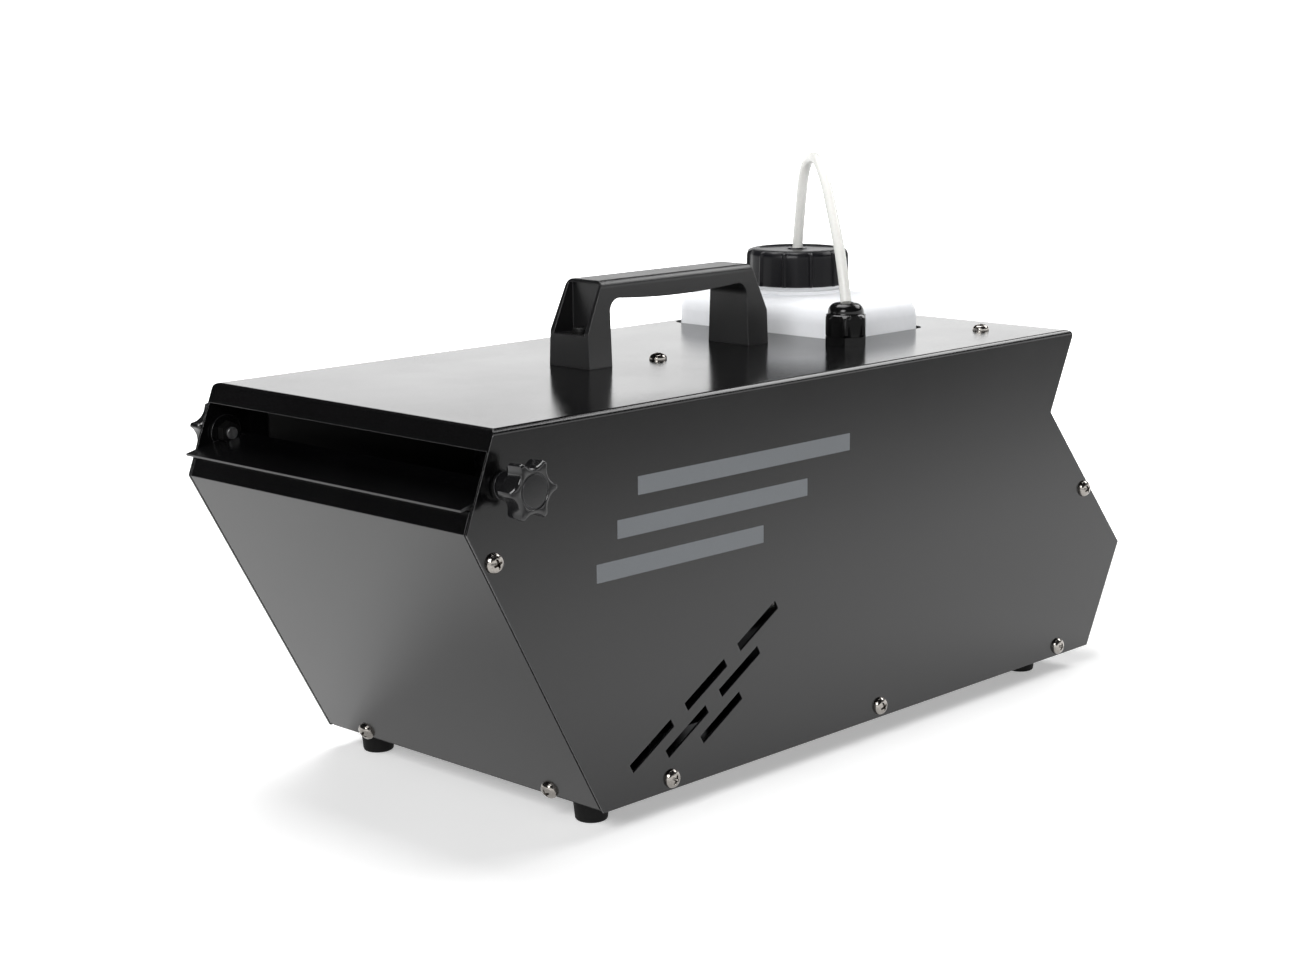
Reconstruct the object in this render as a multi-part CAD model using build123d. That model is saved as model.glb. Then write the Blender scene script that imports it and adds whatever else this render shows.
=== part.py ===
from build123d import *
import math
import os

# A fog machine: a folded steel casing on four rubber feet, with a fluid bottle that stands
# in a well, a pump, a heater, and a fan that blows the vapour out of the slot at the front.
# All lengths are in millimetres.  X is across the casing, +Z is up and the slot faces -Y.
# While modelling, x is counted from the casing's middle, y from its top front edge and z from
# the floor; the finished solids are moved so that the origin is under the bounding box's middle.

# ---- casing ----------------------------------------------------------------------------
BODY_WIDTH = 210.0
FOOT_HEIGHT = 12.0
BODY_HEIGHT = 194.0
TOP = FOOT_HEIGHT + BODY_HEIGHT
TOP_LENGTH = 454.0
SHEET = 1.2
BEND = 3.0
HALF_OUT = BODY_WIDTH / 2
HALF_IN = HALF_OUT - SHEET
PANEL_HALF = HALF_IN - 1.0
FLANGE_DEPTH = 15.0
FLANGE_TOP = FOOT_HEIGHT + 15.0

# The casing's side outline as (y, z) corners, clockwise from the top front edge.
TOP_FRONT = (0.0, TOP)
TOP_REAR = (TOP_LENGTH, TOP)
NOTCH = (432.0, TOP - 46.0)
REAR_POINT = (508.0, TOP - 135.0)
BASE_REAR = (477.0, FOOT_HEIGHT)
BASE_FRONT = (65.0, FOOT_HEIGHT)
CHIN = (-17.5, TOP - 45.0)
OUTLINE = [TOP_FRONT, TOP_REAR, NOTCH, REAR_POINT, BASE_REAR, BASE_FRONT, CHIN]
LIP_EDGE = TOP - 9.6
SILL_EDGE = TOP - 35.2

# ---- outlet flap and its knobs ---------------------------------------------------------
FLAP_AXIS = (4.5, TOP - 25.5)
FLAP_EDGE = (-19.5, TOP - 33.5)
FLAP_HALF = 103.3
EAR_RADIUS = 9.0
FLAP_DROP = 3.0
FLAP_OVERHANG = 7.0
NUT_FLATS = 10.0
NUT_HEIGHT = 4.5
STUD_RADIUS = 3.0
STUD_END = 96.5
WASHER = 1.2
KNOB_RADIUS = 14.3
KNOB_HOLLOW = 10.3
KNOB_SCALLOP = 8.5
KNOB_CROWN = 5.0
KNOB_HUB = 7.0
KNOB_LOBES = 6

# The knobs on the right (1) and left (-1) side: face height off the panel, star thickness, turn.
KNOB_FACES = {1: 20.7, -1: 9.6}
KNOB_THICK = {1: 11.0, -1: 8.0}
KNOB_TURNS = {1: 0.0, -1: 17.0}

# ---- screws ----------------------------------------------------------------------------
M5_HEAD = 4.75
M5_SHANK = 2.4
M5_HOLE = 2.7
M3_HEAD = 2.9
M3_SHANK = 1.4
M3_HOLE = 1.7
SIDE_SCREWS = [(-2.0, TOP - 60.0), (112.0, 17.8), (276.0, 18.4), (445.4, 17.6), (468.5, TOP - 96.4)]
TOP_SCREWS = [(6.0, 207.5), (64.5, 418.0)]
FRONT_SCREW_HALF = 70.0
FRONT_SCREW_RISE = 5.0

# ---- side slots ------------------------------------------------------------------------
SLOT_LENGTH = 33.4
SLOT_WIDTH = 5.0
SLOT_ANGLE = 30.2
SLOT_FIRST = (98.3, 37.6)
SLOT_ALONG = 22.4
SLOT_ACROSS = 11.2

# ---- handle ----------------------------------------------------------------------------
HANDLE_X = -6.5
HANDLE_FRONT = 154.0
HANDLE_LENGTH = 140.0
HANDLE_HEIGHT = 45.0
HANDLE_BASE_WIDTH = 30.0
HANDLE_TOP_WIDTH = 26.0
HANDLE_SLOPE = 12.0
PLINTH = 18.5
LEG = 16.5
BAR = 9.0
BAR_BELLY = 2.6
POCKET_WALL = 2.5
POCKET_ROOF = 1.8
HANDLE_SCREW_INSET = 8.5

# ---- feet ------------------------------------------------------------------------------
FEET = [(x, y) for x in (-81.5, 81.5) for y in (79.5, 441.0)]
FOOT_TOP = 9.3
FOOT_BOTTOM = 8.0

# ---- bottle, cap, gland and tube -------------------------------------------------------
BOTTLE_X = -33.0
BOTTLE_Y = 368.0
BOTTLE_WIDTH = 129.0
BOTTLE_DEPTH = 77.0
BOTTLE_FLOOR = 15.0
BOTTLE_TOP = TOP + 20.0
BOTTLE_CORNER = 8.0
BOTTLE_WALL = 1.6
WELL_GAP = 2.0
WELL_TOP = 95.0
NECK_RADIUS = 25.0
CAP_RADIUS = 30.2
CAP_TOP = TOP + 45.7
CAP_HEIGHT = 20.9
CAP_RIDGES = 12
CAP_TURN = -4.7
TUBE_RADIUS = 3.0
TUBE_BORE = 2.0
GLAND_X = 44.0
GLAND_Y = 319.0
GLAND_FLATS = 22.0
GLAND_TOP = TOP + 23.2
GLAND_TURN = 7.2
FEED_END = 30.0

# The tube's route from the gland to the cap, as (distance from the gland, height above the
# casing's top) in the upright plane through both.
TUBE_ROUTE = [
    (0.0, 23.2), (7.5, 45.0), (23.1, 68.2), (38.8, 90.1),
    (56.3, 102.0), (75.8, 95.4), (83.6, 70.0), (89.0, 45.7),
]

# ---- heater, fan, duct and pump --------------------------------------------------------
HEATER_X = 50.0
HEATER_Z = 50.0
HEATER_RADIUS = 30.0
HEATER_FRONT = 95.0
HEATER_REAR = 255.0
HEATER_CORE = 20.0
PIPE_RADIUS = 4.0
PIPE_BORE = 2.8
PIPE_Y = 74.0
NOZZLE_Z = TOP - 25.0
NOZZLE_REACH = 14.0
FAN_SIZE = 80.0
FAN_FRONT = 107.0
FAN_DEPTH = 25.0
FAN_Z = 151.0
DUCT_FRONT = 26.0
DUCT_HALF = 96.0
DUCT_LOW = TOP - 34.0
DUCT_HIGH = TOP - 8.0
DUCT_SHEET = 1.0
DUCT_BACK = 62.0
DUCT_TABS = 60.0
PUMP_X = 70.0
PUMP_Z = 38.0
PUMP_FRONT = 352.0
PUMP_COIL = 36.0

# ---- rear controls ---------------------------------------------------------------------
BUTTON_PITCH = 20.0
BUTTON_COUNT = 4
BUTTON_RADIUS = 3.4
BUTTON_ROW = -4.0
DISPLAY_RISE = 27.0
DISPLAY_SIZE = (64.0, 20.0)
CONTROL_BOARD_DEPTH = 14.0
CONTROL_POSTS = [(x, y) for x in (-60, 60) for y in (-8, 44)]
BOARD = 1.6
SOCKET_ROW = -33.0
SOCKET_PLACES = [34.0, 68.0]
INLET_PLACE = -52.0
INLET_SCREW = 20.0
ROCKER_PLACE = -8.0
ROCKER_HALF = (6.4, 9.4)
ROCKER_PIVOT = 3.2
ROCKER_REST = 9.0

CENTRE_X = (KNOB_FACES[1] - KNOB_FACES[-1]) / 2
CENTRE_Y = (FLAP_EDGE[0] + REAR_POINT[0]) / 2
TO_ORIGIN = Location((-CENTRE_X, -CENTRE_Y, 0))


# ---- helpers ---------------------------------------------------------------------------
def prism(points, low, high):
    """A side-view outline of (y, z) points, pulled from x = low to x = high."""
    face = Plane.YZ * make_face(Polyline(*points, close=True))
    return extrude(Pos(low, 0, 0) * face, amount=high - low, dir=(1, 0, 0))


def casing_prism(shrink, low, high):
    """The casing's side outline, moved inwards and pulled from x = low to x = high."""
    face = make_face(Polyline(*OUTLINE, close=True))
    if shrink:
        face = offset(face, amount=-shrink, kind=Kind.INTERSECTION)
    return extrude(Pos(low, 0, 0) * (Plane.YZ * face), amount=high - low, dir=(1, 0, 0))


def casing_band(outer, inner, low, high):
    """The ring between two insets of the casing's outline."""
    return casing_prism(outer, low, high) - casing_prism(inner, low - 1, high + 1)


def block(x, y, z):
    """A box from three (low, high) ranges."""
    size = Box(x[1] - x[0], y[1] - y[0], z[1] - z[0])
    return Pos((x[0] + x[1]) / 2, (y[0] + y[1]) / 2, (z[0] + z[1]) / 2) * size


def rod(start, end, radius, bore=0.0):
    """A round bar between two points, or a tube where it has a bore."""
    start = Vector(*start)
    axis = Vector(*end) - start
    section = Circle(radius)
    if bore:
        section = section - Circle(bore)
    return extrude(Plane(origin=start, z_dir=axis) * section, amount=axis.length)


def disc(x, y, low, high, radius, bore=0.0):
    """An upright cylinder or ring from z = low to z = high."""
    return rod((x, y, low), (x, y, high), radius, bore)


def hexagon(x, y, low, high, flats, bore, turn=0.0):
    """An upright six-sided nut with a round bore."""
    section = RegularPolygon(flats / 2, 6, major_radius=False) - Circle(bore)
    return Pos(x, y, low) * Rot(0, 0, turn) * extrude(section, amount=high - low)


def pipe(points, bend, radius, bore=0.0):
    """A tube along straight runs joined by bends."""
    path = FilletPolyline(*points, radius=bend)
    section = Circle(radius)
    if bore:
        section = section - Circle(bore)
    return sweep(Plane(origin=path @ 0, z_dir=path % 0) * section, path=path)


def pan_screw(head, shank, length):
    """A cross-head pan screw with its head on +Z and its shank on -Z."""
    height = head * 0.72
    cap = Cylinder(head, height, align=(Align.CENTER, Align.CENTER, Align.MIN))
    cap = fillet(cap.edges().group_by(Axis.Z)[-1], height * 0.6)
    groove = Pos(0, 0, height) * Box(head * 1.1, head * 0.26, height)
    cap = cap - groove - Rot(0, 0, 90) * groove
    stem = Cylinder(shank, length, align=(Align.CENTER, Align.CENTER, Align.MAX))
    return cap + stem


def facing(y, z, normal):
    """A plane on a panel that looks out along its normal, with its own y pointing up."""
    return Plane(origin=(0, y, z), x_dir=(-1, 0, 0), z_dir=normal)


def outward(a, b):
    """The outward normal of the casing's edge from corner a to corner b."""
    dy = b[0] - a[0]
    dz = b[1] - a[1]
    size = math.hypot(dy, dz)
    return (0, -dz / size, dy / size)


def midway(a, b):
    return ((a[0] + b[0]) / 2, (a[1] + b[1]) / 2)


def side_plane(side, y, z):
    """A plane on a side panel's outer face, looking outwards."""
    return Plane(origin=(side * HALF_OUT, y, z), x_dir=(0, side, 0), z_dir=(side, 0, 0))


CONTROL = facing(*midway(NOTCH, REAR_POINT), outward(NOTCH, REAR_POINT))
TAIL = facing(*midway(REAR_POINT, BASE_REAR), outward(REAR_POINT, BASE_REAR))
SLOPE_OUT = outward(BASE_FRONT, CHIN)
SLOPE_UP = (-SLOPE_OUT[2], SLOPE_OUT[1])
FRONT_SCREW_Y = BASE_FRONT[0] - SLOPE_UP[0] * FRONT_SCREW_RISE
FRONT_SCREW_Z = BASE_FRONT[1] - SLOPE_UP[1] * FRONT_SCREW_RISE
FRONT_SLOPE = facing(FRONT_SCREW_Y, FRONT_SCREW_Z, SLOPE_OUT)


def slot_places():
    """Six slots in three staggered columns, as (y, z) centres."""
    turn = math.radians(SLOT_ANGLE)
    along = Vector(math.cos(turn), math.sin(turn))
    across = Vector(-math.sin(turn), math.cos(turn))
    upward = along * SLOT_ALONG + across * SLOT_ACROSS
    backward = along * SLOT_ALONG - across * SLOT_ACROSS
    first = Vector(*SLOT_FIRST)
    places = []
    for column in range(3):
        places += [first + backward * column + upward * row for row in range(column + 1)]
    return places


# ---- casing ----------------------------------------------------------------------------
def make_cover():
    """Top and both sides in one folded sheet, with a lip in front and a fold behind."""
    outer = casing_prism(0, -HALF_OUT, HALF_OUT)
    outer = fillet(outer.faces().sort_by(Axis.Z)[-1].edges(), BEND)
    inner = casing_prism(SHEET, -HALF_IN, HALF_IN)
    inner = fillet(inner.faces().sort_by(Axis.Z)[-1].edges(), BEND - SHEET)
    cover = outer - inner
    cover -= block((-HALF_IN, HALF_IN), (-60, 250), (-10, LIP_EDGE))
    cover -= block((-HALF_IN, HALF_IN), (250, 600), (-10, NOTCH[1] + 1))
    width = BOTTLE_WIDTH + 2 * WELL_GAP
    depth = BOTTLE_DEPTH + 2 * WELL_GAP
    hole = RectangleRounded(width, depth, BOTTLE_CORNER + WELL_GAP)
    cover -= Pos(BOTTLE_X, BOTTLE_Y, TOP - 5) * extrude(hole, amount=10)
    cover -= disc(GLAND_X, GLAND_Y, TOP - 5, TOP + 5, 9.5)
    for x, y in TOP_SCREWS:
        cover -= disc(x, y, TOP - 5, TOP + 5, M5_HOLE)
    for y in handle_screw_places():
        cover -= disc(HANDLE_X, y, TOP - 5, TOP + 5, M5_HOLE)
    slot = Box(SLOT_LENGTH, SLOT_WIDTH, 10)
    for side in (-1, 1):
        for y, z in SIDE_SCREWS:
            cover -= side_plane(side, y, z) * Cylinder(M5_HOLE, 10)
        cover -= side_plane(side, *FLAP_AXIS) * Cylinder(STUD_RADIUS + 0.3, 10)
        for place in slot_places():
            turn = Rot(0, 0, side * SLOT_ANGLE)
            cover -= side_plane(side, place.X, place.Y) * turn * slot
    return cover


def make_front_panel():
    """The slope under the slot, with a low sill above it and a flange down each side."""
    skin = casing_band(0, SHEET, -PANEL_HALF, PANEL_HALF)
    panel = skin & block((-HALF_OUT, HALF_OUT), (-40, 64.6), (FOOT_HEIGHT + 1.5, SILL_EDGE))
    for side in (-1, 1):
        low, high = sorted((side * PANEL_HALF, side * (PANEL_HALF - SHEET)))
        flange = casing_band(0.5, FLANGE_DEPTH, low, high)
        panel += flange & block((-HALF_OUT, HALF_OUT), (-40, 60), (FLANGE_TOP + 10, SILL_EDGE - 10))
        panel -= side_plane(side, *SIDE_SCREWS[0]) * Cylinder(M5_HOLE, 10)
    for x in (-FRONT_SCREW_HALF, FRONT_SCREW_HALF):
        panel -= FRONT_SLOPE * Pos(x, 0, 0) * Cylinder(M5_HOLE, 10)
    return panel


def make_base_plate():
    """The floor of the casing, with flanges that the side, front and rear screws bite in."""
    floor_front = BASE_FRONT[0] + 1.3
    floor_rear = BASE_REAR[0] - 1.3
    plate = block((-PANEL_HALF, PANEL_HALF), (floor_front, floor_rear), (FOOT_HEIGHT, FOOT_HEIGHT + SHEET))
    skin = casing_band(SHEET + 0.1, 2 * SHEET + 0.1, -PANEL_HALF + 10, PANEL_HALF - 10)
    plate += skin & block((-HALF_OUT, HALF_OUT), (30, 90), (FOOT_HEIGHT, FLANGE_TOP))
    plate += skin & block((-HALF_OUT, HALF_OUT), (460, 500), (FOOT_HEIGHT, FLANGE_TOP))
    weld = (FOOT_HEIGHT + SHEET - 0.1, FOOT_HEIGHT + SHEET + 0.2)
    for y in ((floor_front + 4, 88), (462, floor_rear - 4)):
        plate += block((-PANEL_HALF + 10, PANEL_HALF - 10), y, weld)
    for side in (-1, 1):
        low, high = sorted((side * PANEL_HALF, side * (PANEL_HALF - SHEET)))
        plate += block((low, high), (floor_front + 15, BASE_REAR[0] - 5), (FOOT_HEIGHT, FLANGE_TOP))
        for y, z in SIDE_SCREWS[1:4]:
            plate -= side_plane(side, y, z) * Cylinder(M5_HOLE, 10)
    for x in (-FRONT_SCREW_HALF, FRONT_SCREW_HALF):
        plate -= FRONT_SLOPE * Pos(x, 0, 0) * Cylinder(M5_HOLE, 14)
    for x, y in FEET:
        plate -= disc(x, y, 0, 20, 2.2)
    return plate


def make_rear_panel():
    """The two rear faces in one folded sheet: controls above, mains inlet below."""
    skin = casing_band(0, SHEET, -PANEL_HALF, PANEL_HALF)
    panel = skin & block((-HALF_OUT, HALF_OUT), (420, 520), (FOOT_HEIGHT + 1.5, NOTCH[1] - 0.4))
    for side in (-1, 1):
        low, high = sorted((side * PANEL_HALF, side * (PANEL_HALF - SHEET)))
        flange = casing_band(0.5, FLANGE_DEPTH, low, high)
        panel += flange & block((-HALF_OUT, HALF_OUT), (425, 520), (FLANGE_TOP + 5, NOTCH[1] - 20))
        panel -= side_plane(side, *SIDE_SCREWS[4]) * Cylinder(M5_HOLE, 10)
    panel -= CONTROL * Pos(0, DISPLAY_RISE, 0) * Box(DISPLAY_SIZE[0], DISPLAY_SIZE[1], 10)
    for x in button_places():
        panel -= CONTROL * Pos(x, BUTTON_ROW, 0) * Cylinder(BUTTON_RADIUS + 0.4, 10)
    for x in SOCKET_PLACES:
        panel -= CONTROL * Pos(x, SOCKET_ROW, 0) * Cylinder(11.6, 10)
    panel -= TAIL * Pos(INLET_PLACE, 0, 0) * Box(27.6, 34.6, 10)
    panel -= TAIL * Pos(ROCKER_PLACE, 0, 0) * Box(19.4, 25.4, 10)
    for hole in small_screw_planes()[4:10]:
        panel -= hole * Cylinder(M3_HOLE, 10)
    return panel


def button_places():
    span = BUTTON_PITCH * (BUTTON_COUNT - 1)
    return [BUTTON_PITCH * number - span / 2 for number in range(BUTTON_COUNT)]


def make_casing_screws():
    """Five on each side, two in the top and two at the foot of the front slope."""
    screw = pan_screw(M5_HEAD, M5_SHANK, 9.0)
    screws = []
    for side in (-1, 1):
        screws += [side_plane(side, y, z) * screw for y, z in SIDE_SCREWS]
    screws += [Pos(x, y, TOP) * screw for x, y in TOP_SCREWS]
    screws += [FRONT_SLOPE * Pos(x, 0, 0) * screw for x in (-FRONT_SCREW_HALF, FRONT_SCREW_HALF)]
    return screws


def make_feet():
    foot = Cone(FOOT_BOTTOM, FOOT_TOP, FOOT_HEIGHT, align=(Align.CENTER, Align.CENTER, Align.MIN))
    foot = fillet(foot.edges().group_by(Axis.Z)[0], 1.5)
    foot -= Cylinder(2.2, 3 * FOOT_HEIGHT)
    foot -= Cylinder(4.6, 5.0, align=(Align.CENTER, Align.CENTER, Align.MIN))
    return [Pos(x, y, 0) * foot for x, y in FEET]


def make_foot_screws():
    screw = Pos(0, 0, 5.0) * Rot(180, 0, 0) * pan_screw(3.9, 1.9, 11.0)
    return [Pos(x, y, 0) * screw for x, y in FEET]


# ---- handle ----------------------------------------------------------------------------
def handle_screw_places():
    rear = HANDLE_FRONT + HANDLE_LENGTH
    return [HANDLE_FRONT + HANDLE_SCREW_INSET, rear - HANDLE_SCREW_INSET]


def make_handle():
    """A bridge handle: hollow sloped ends over solid plinths, and a bar with a slight belly."""
    rear = HANDLE_FRONT + HANDLE_LENGTH
    top = TOP + HANDLE_HEIGHT
    shoulder = TOP + PLINTH
    outline = [(HANDLE_FRONT, TOP), (rear, TOP), (rear, shoulder), (rear - HANDLE_SLOPE, top),
               (HANDLE_FRONT + HANDLE_SLOPE, top), (HANDLE_FRONT, shoulder)]
    half = HANDLE_BASE_WIDTH / 2
    body = prism(outline, HANDLE_X - half, HANDLE_X + half)
    narrow = HANDLE_TOP_WIDTH / 2
    front_view = [(HANDLE_X - half, TOP), (HANDLE_X + half, TOP),
                  (HANDLE_X + narrow, top), (HANDLE_X - narrow, top)]
    wedge = Plane.XZ * make_face(Polyline(*front_view, close=True))
    body &= extrude(Pos(0, rear + 1, 0) * wedge, amount=HANDLE_LENGTH + 2, dir=(0, -1, 0))
    body = fillet(body.faces().sort_by(Axis.Z)[-1].edges().filter_by(Axis.Y), 4.0)
    opening_front = HANDLE_FRONT + LEG
    opening_rear = rear - LEG
    under = top - BAR
    centre = (opening_front + opening_rear) / 2
    below = TOP - 1
    sides = Polyline((opening_rear, under), (opening_rear, below), (opening_front, below), (opening_front, under))
    belly = ThreePointArc((opening_front, under), (centre, under - BAR_BELLY), (opening_rear, under))
    gap = extrude(Pos(HANDLE_X - 40, 0, 0) * (Plane.YZ * make_face([sides, belly])), amount=80, dir=(1, 0, 0))
    gap = fillet(gap.edges().filter_by(Axis.X).group_by(Axis.Z)[-1], 7.0)
    body -= gap
    pocket_top = top - POCKET_ROOF
    pocket_half = half - POCKET_WALL - 1.2
    front_leg = (HANDLE_FRONT - 5, opening_front - POCKET_WALL)
    rear_leg = (opening_rear + POCKET_WALL, rear + 5)
    for leg, screw in zip((front_leg, rear_leg), handle_screw_places()):
        body -= block((HANDLE_X - pocket_half, HANDLE_X + pocket_half), leg, (shoulder - 1.5, pocket_top))
        body -= disc(HANDLE_X, screw, TOP - 1, shoulder, M5_HOLE)
    return body


def make_handle_bolts():
    """A screw down each leg's pocket, and its nut under the casing's top."""
    screw = pan_screw(M5_HEAD, M5_SHANK, PLINTH + 6.5)
    bolts = []
    for y in handle_screw_places():
        bolts.append(Pos(HANDLE_X, y, TOP + PLINTH - 1.5) * screw)
        bolts.append(hexagon(HANDLE_X, y, TOP - SHEET - 4, TOP - SHEET, 8.0, M5_HOLE))
    return bolts


# ---- outlet flap -----------------------------------------------------------------------
def make_flap():
    """A thin plate across the slot with a round ear at each end for the knob's stud."""
    front = Vector(*FLAP_EDGE)
    axis = Vector(*FLAP_AXIS)
    along = (front - axis).normalized()
    down = Vector(-along.Y, along.X)
    back = axis + down * FLAP_DROP - along * FLAP_OVERHANG
    corners = [front, back, back + down * SHEET, front + down * SHEET]
    flap = prism([(point.X, point.Y) for point in corners], -FLAP_HALF, FLAP_HALF)
    for side in (-1, 1):
        stud_end = (side * (STUD_END - 2), *FLAP_AXIS)
        inner = (side * (FLAP_HALF - SHEET), *FLAP_AXIS)
        outer = (side * FLAP_HALF, *FLAP_AXIS)
        flap -= rod(stud_end, inner, NUT_FLATS / 2 + 1.0)
        flap += rod(inner, outer, EAR_RADIUS)
        flap -= rod(inner, (side * HALF_OUT, *FLAP_AXIS), STUD_RADIUS + 0.08)
    return flap


def make_flap_nuts():
    """A nut welded inside each ear."""
    nuts = []
    for side in (-1, 1):
        plane = Plane(origin=(side * (FLAP_HALF - SHEET), *FLAP_AXIS), z_dir=(-side, 0, 0))
        section = RegularPolygon(NUT_FLATS / 2, 6, major_radius=False) - Circle(STUD_RADIUS + 0.08)
        nuts.append(extrude(plane * section, amount=NUT_HEIGHT))
    return nuts


def make_knob_washers():
    washers = []
    for side in (-1, 1):
        inner = (side * HALF_OUT, *FLAP_AXIS)
        outer = (side * (HALF_OUT + WASHER), *FLAP_AXIS)
        washers.append(rod(inner, outer, 6.5, STUD_RADIUS + 0.2))
    return washers


def make_knob(side):
    """A six-lobed star knob with a shallow ring on its face; only the right one has a hub."""
    face = KNOB_FACES[side]
    back = face - KNOB_THICK[side]
    star = Circle(KNOB_RADIUS)
    for lobe in range(KNOB_LOBES):
        turn = Rot(0, 0, 360 / KNOB_LOBES * (lobe + 0.5))
        star -= turn * Pos(KNOB_HOLLOW + KNOB_SCALLOP, 0) * Circle(KNOB_SCALLOP)
    star = fillet(star.vertices(), 0.9)
    head = Pos(0, 0, back) * extrude(star, amount=face - back)
    head = chamfer(head.faces().sort_by(Axis.Z)[-1].edges(), 0.6)
    head -= Pos(0, 0, face - 0.5) * extrude(Circle(8.2) - Circle(7.4), amount=2)
    hub_start = WASHER + 0.1
    if back > hub_start + 2:
        hub = Pos(0, 0, hub_start) * extrude(Circle(KNOB_HUB), amount=back - hub_start)
        head += fillet(hub.edges().group_by(Axis.Z)[0], 1.8)
    head -= Pos(0, 0, -1) * extrude(Circle(STUD_RADIUS), amount=face - KNOB_CROWN + 1)
    return side_plane(side, *FLAP_AXIS) * Rot(0, 0, KNOB_TURNS[side]) * head


def make_knob_stud(side):
    start = (side * STUD_END, *FLAP_AXIS)
    end = (side * (HALF_OUT + KNOB_FACES[side] - KNOB_CROWN), *FLAP_AXIS)
    return rod(start, end, STUD_RADIUS)


# ---- fluid bottle ----------------------------------------------------------------------
def make_bottle():
    """A blow-moulded bottle with round corners and a wide neck."""
    size = (BOTTLE_WIDTH, BOTTLE_DEPTH, BOTTLE_CORNER)
    shell = extrude(RectangleRounded(*size), amount=BOTTLE_TOP - BOTTLE_FLOOR)
    shell = fillet(shell.faces().sort_by(Axis.Z)[-1].edges(), BOTTLE_CORNER - 1.5)
    shell = fillet(shell.faces().sort_by(Axis.Z)[0].edges(), BOTTLE_CORNER - 3)
    inner_size = (size[0] - 2 * BOTTLE_WALL, size[1] - 2 * BOTTLE_WALL)
    inner = RectangleRounded(*inner_size, BOTTLE_CORNER - BOTTLE_WALL)
    hollow = Pos(0, 0, BOTTLE_WALL) * extrude(inner, amount=BOTTLE_TOP - BOTTLE_FLOOR - 2 * BOTTLE_WALL)
    hollow = fillet(hollow.faces().sort_by(Axis.Z)[-1].edges(), BOTTLE_CORNER - BOTTLE_WALL - 1.5)
    neck_low = BOTTLE_TOP - BOTTLE_FLOOR
    neck_high = CAP_TOP - 4.2 - BOTTLE_FLOOR
    shell += Pos(0, 0, neck_low - 1) * extrude(Circle(NECK_RADIUS), amount=neck_high - neck_low + 1)
    shell += Pos(0, 0, neck_low - 1) * extrude(Circle(NECK_RADIUS + 3.2), amount=3.2)
    shell -= hollow
    shell -= Pos(0, 0, neck_low - 10) * extrude(Circle(NECK_RADIUS - 2.2), amount=60)
    return Pos(BOTTLE_X, BOTTLE_Y, BOTTLE_FLOOR) * shell


def make_bottle_cap():
    """A screw cap with a domed rim, raised ridges and a hole for the tube."""
    cap = extrude(Circle(CAP_RADIUS), amount=CAP_HEIGHT, taper=2.0)
    cap = fillet(cap.faces().sort_by(Axis.Z)[-1].edges(), 2.6)
    ridge = Pos(CAP_RADIUS - 0.7, 0, CAP_HEIGHT * 0.45) * Box(1.8, 2.0, CAP_HEIGHT * 0.8)
    for number in range(CAP_RIDGES):
        cap += Rot(0, 0, 360 / CAP_RIDGES * number + CAP_TURN) * ridge
    cap -= extrude(Circle(NECK_RADIUS + 0.4), amount=CAP_HEIGHT - 2.6)
    cap -= extrude(Circle(TUBE_RADIUS + 0.25), amount=CAP_HEIGHT + 5)
    return Pos(BOTTLE_X, BOTTLE_Y, CAP_TOP - CAP_HEIGHT) * cap


def make_cap_liner():
    return disc(BOTTLE_X, BOTTLE_Y, CAP_TOP - 4.1, CAP_TOP - 2.6, NECK_RADIUS, TUBE_RADIUS + 0.25)


def make_tube_ends():
    """The stretch that hangs in the bottle and the one that drops from the gland."""
    dip = disc(BOTTLE_X, BOTTLE_Y, BOTTLE_FLOOR + 14, CAP_TOP, TUBE_RADIUS, TUBE_BORE)
    feed = disc(GLAND_X, GLAND_Y, FEED_END, GLAND_TOP, TUBE_RADIUS, TUBE_BORE)
    return [dip, feed]


def tube_points():
    gland = Vector(GLAND_X, GLAND_Y, TOP)
    cap = Vector(BOTTLE_X, BOTTLE_Y, TOP)
    reach = cap - gland
    span = TUBE_ROUTE[-1][0]
    return [gland + reach * (run / span) + Vector(0, 0, rise) for run, rise in TUBE_ROUTE]


def make_fluid_tube():
    """The clear tube that arches from the gland over to the cap."""
    points = tube_points()
    runs = [(b - a).length for a, b in zip(points, points[1:])]
    radii = []
    for before, after, a, b, c in zip(runs, runs[1:], points, points[1:], points[2:]):
        turn = math.radians((b - a).get_angle(c - b))
        radii.append(0.45 * min(before, after) / math.tan(turn / 2))
    path = FilletPolyline(*points, radius=radii)
    tube = sweep(Plane(origin=path @ 0, z_dir=path % 0) * Circle(TUBE_RADIUS), path=path)
    section = math.pi * TUBE_RADIUS ** 2
    print("tube radii", [round(radius, 1) for radius in radii])
    print("tube runs", [round(run, 1) for run in runs])
    print("tube length", round(path.length, 1), "volume over section", round(tube.volume / section, 1))
    return tube


# ---- cable gland that the tube passes through ------------------------------------------
def make_gland_body():
    body = hexagon(GLAND_X, GLAND_Y, TOP, TOP + 4.7, GLAND_FLATS, 4.0, GLAND_TURN)
    body += disc(GLAND_X, GLAND_Y, TOP - 12, TOP + 1, 9.2, 4.0)
    body += disc(GLAND_X, GLAND_Y, TOP + 4, TOP + 11, 8.6, 7.1)
    body += disc(GLAND_X, GLAND_Y, TOP + 4, TOP + 5.5, 8.6, 4.0)
    return body


def make_gland_seal():
    return disc(GLAND_X, GLAND_Y, TOP + 6, GLAND_TOP - 5, 6.9, TUBE_RADIUS + 0.15)


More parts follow.
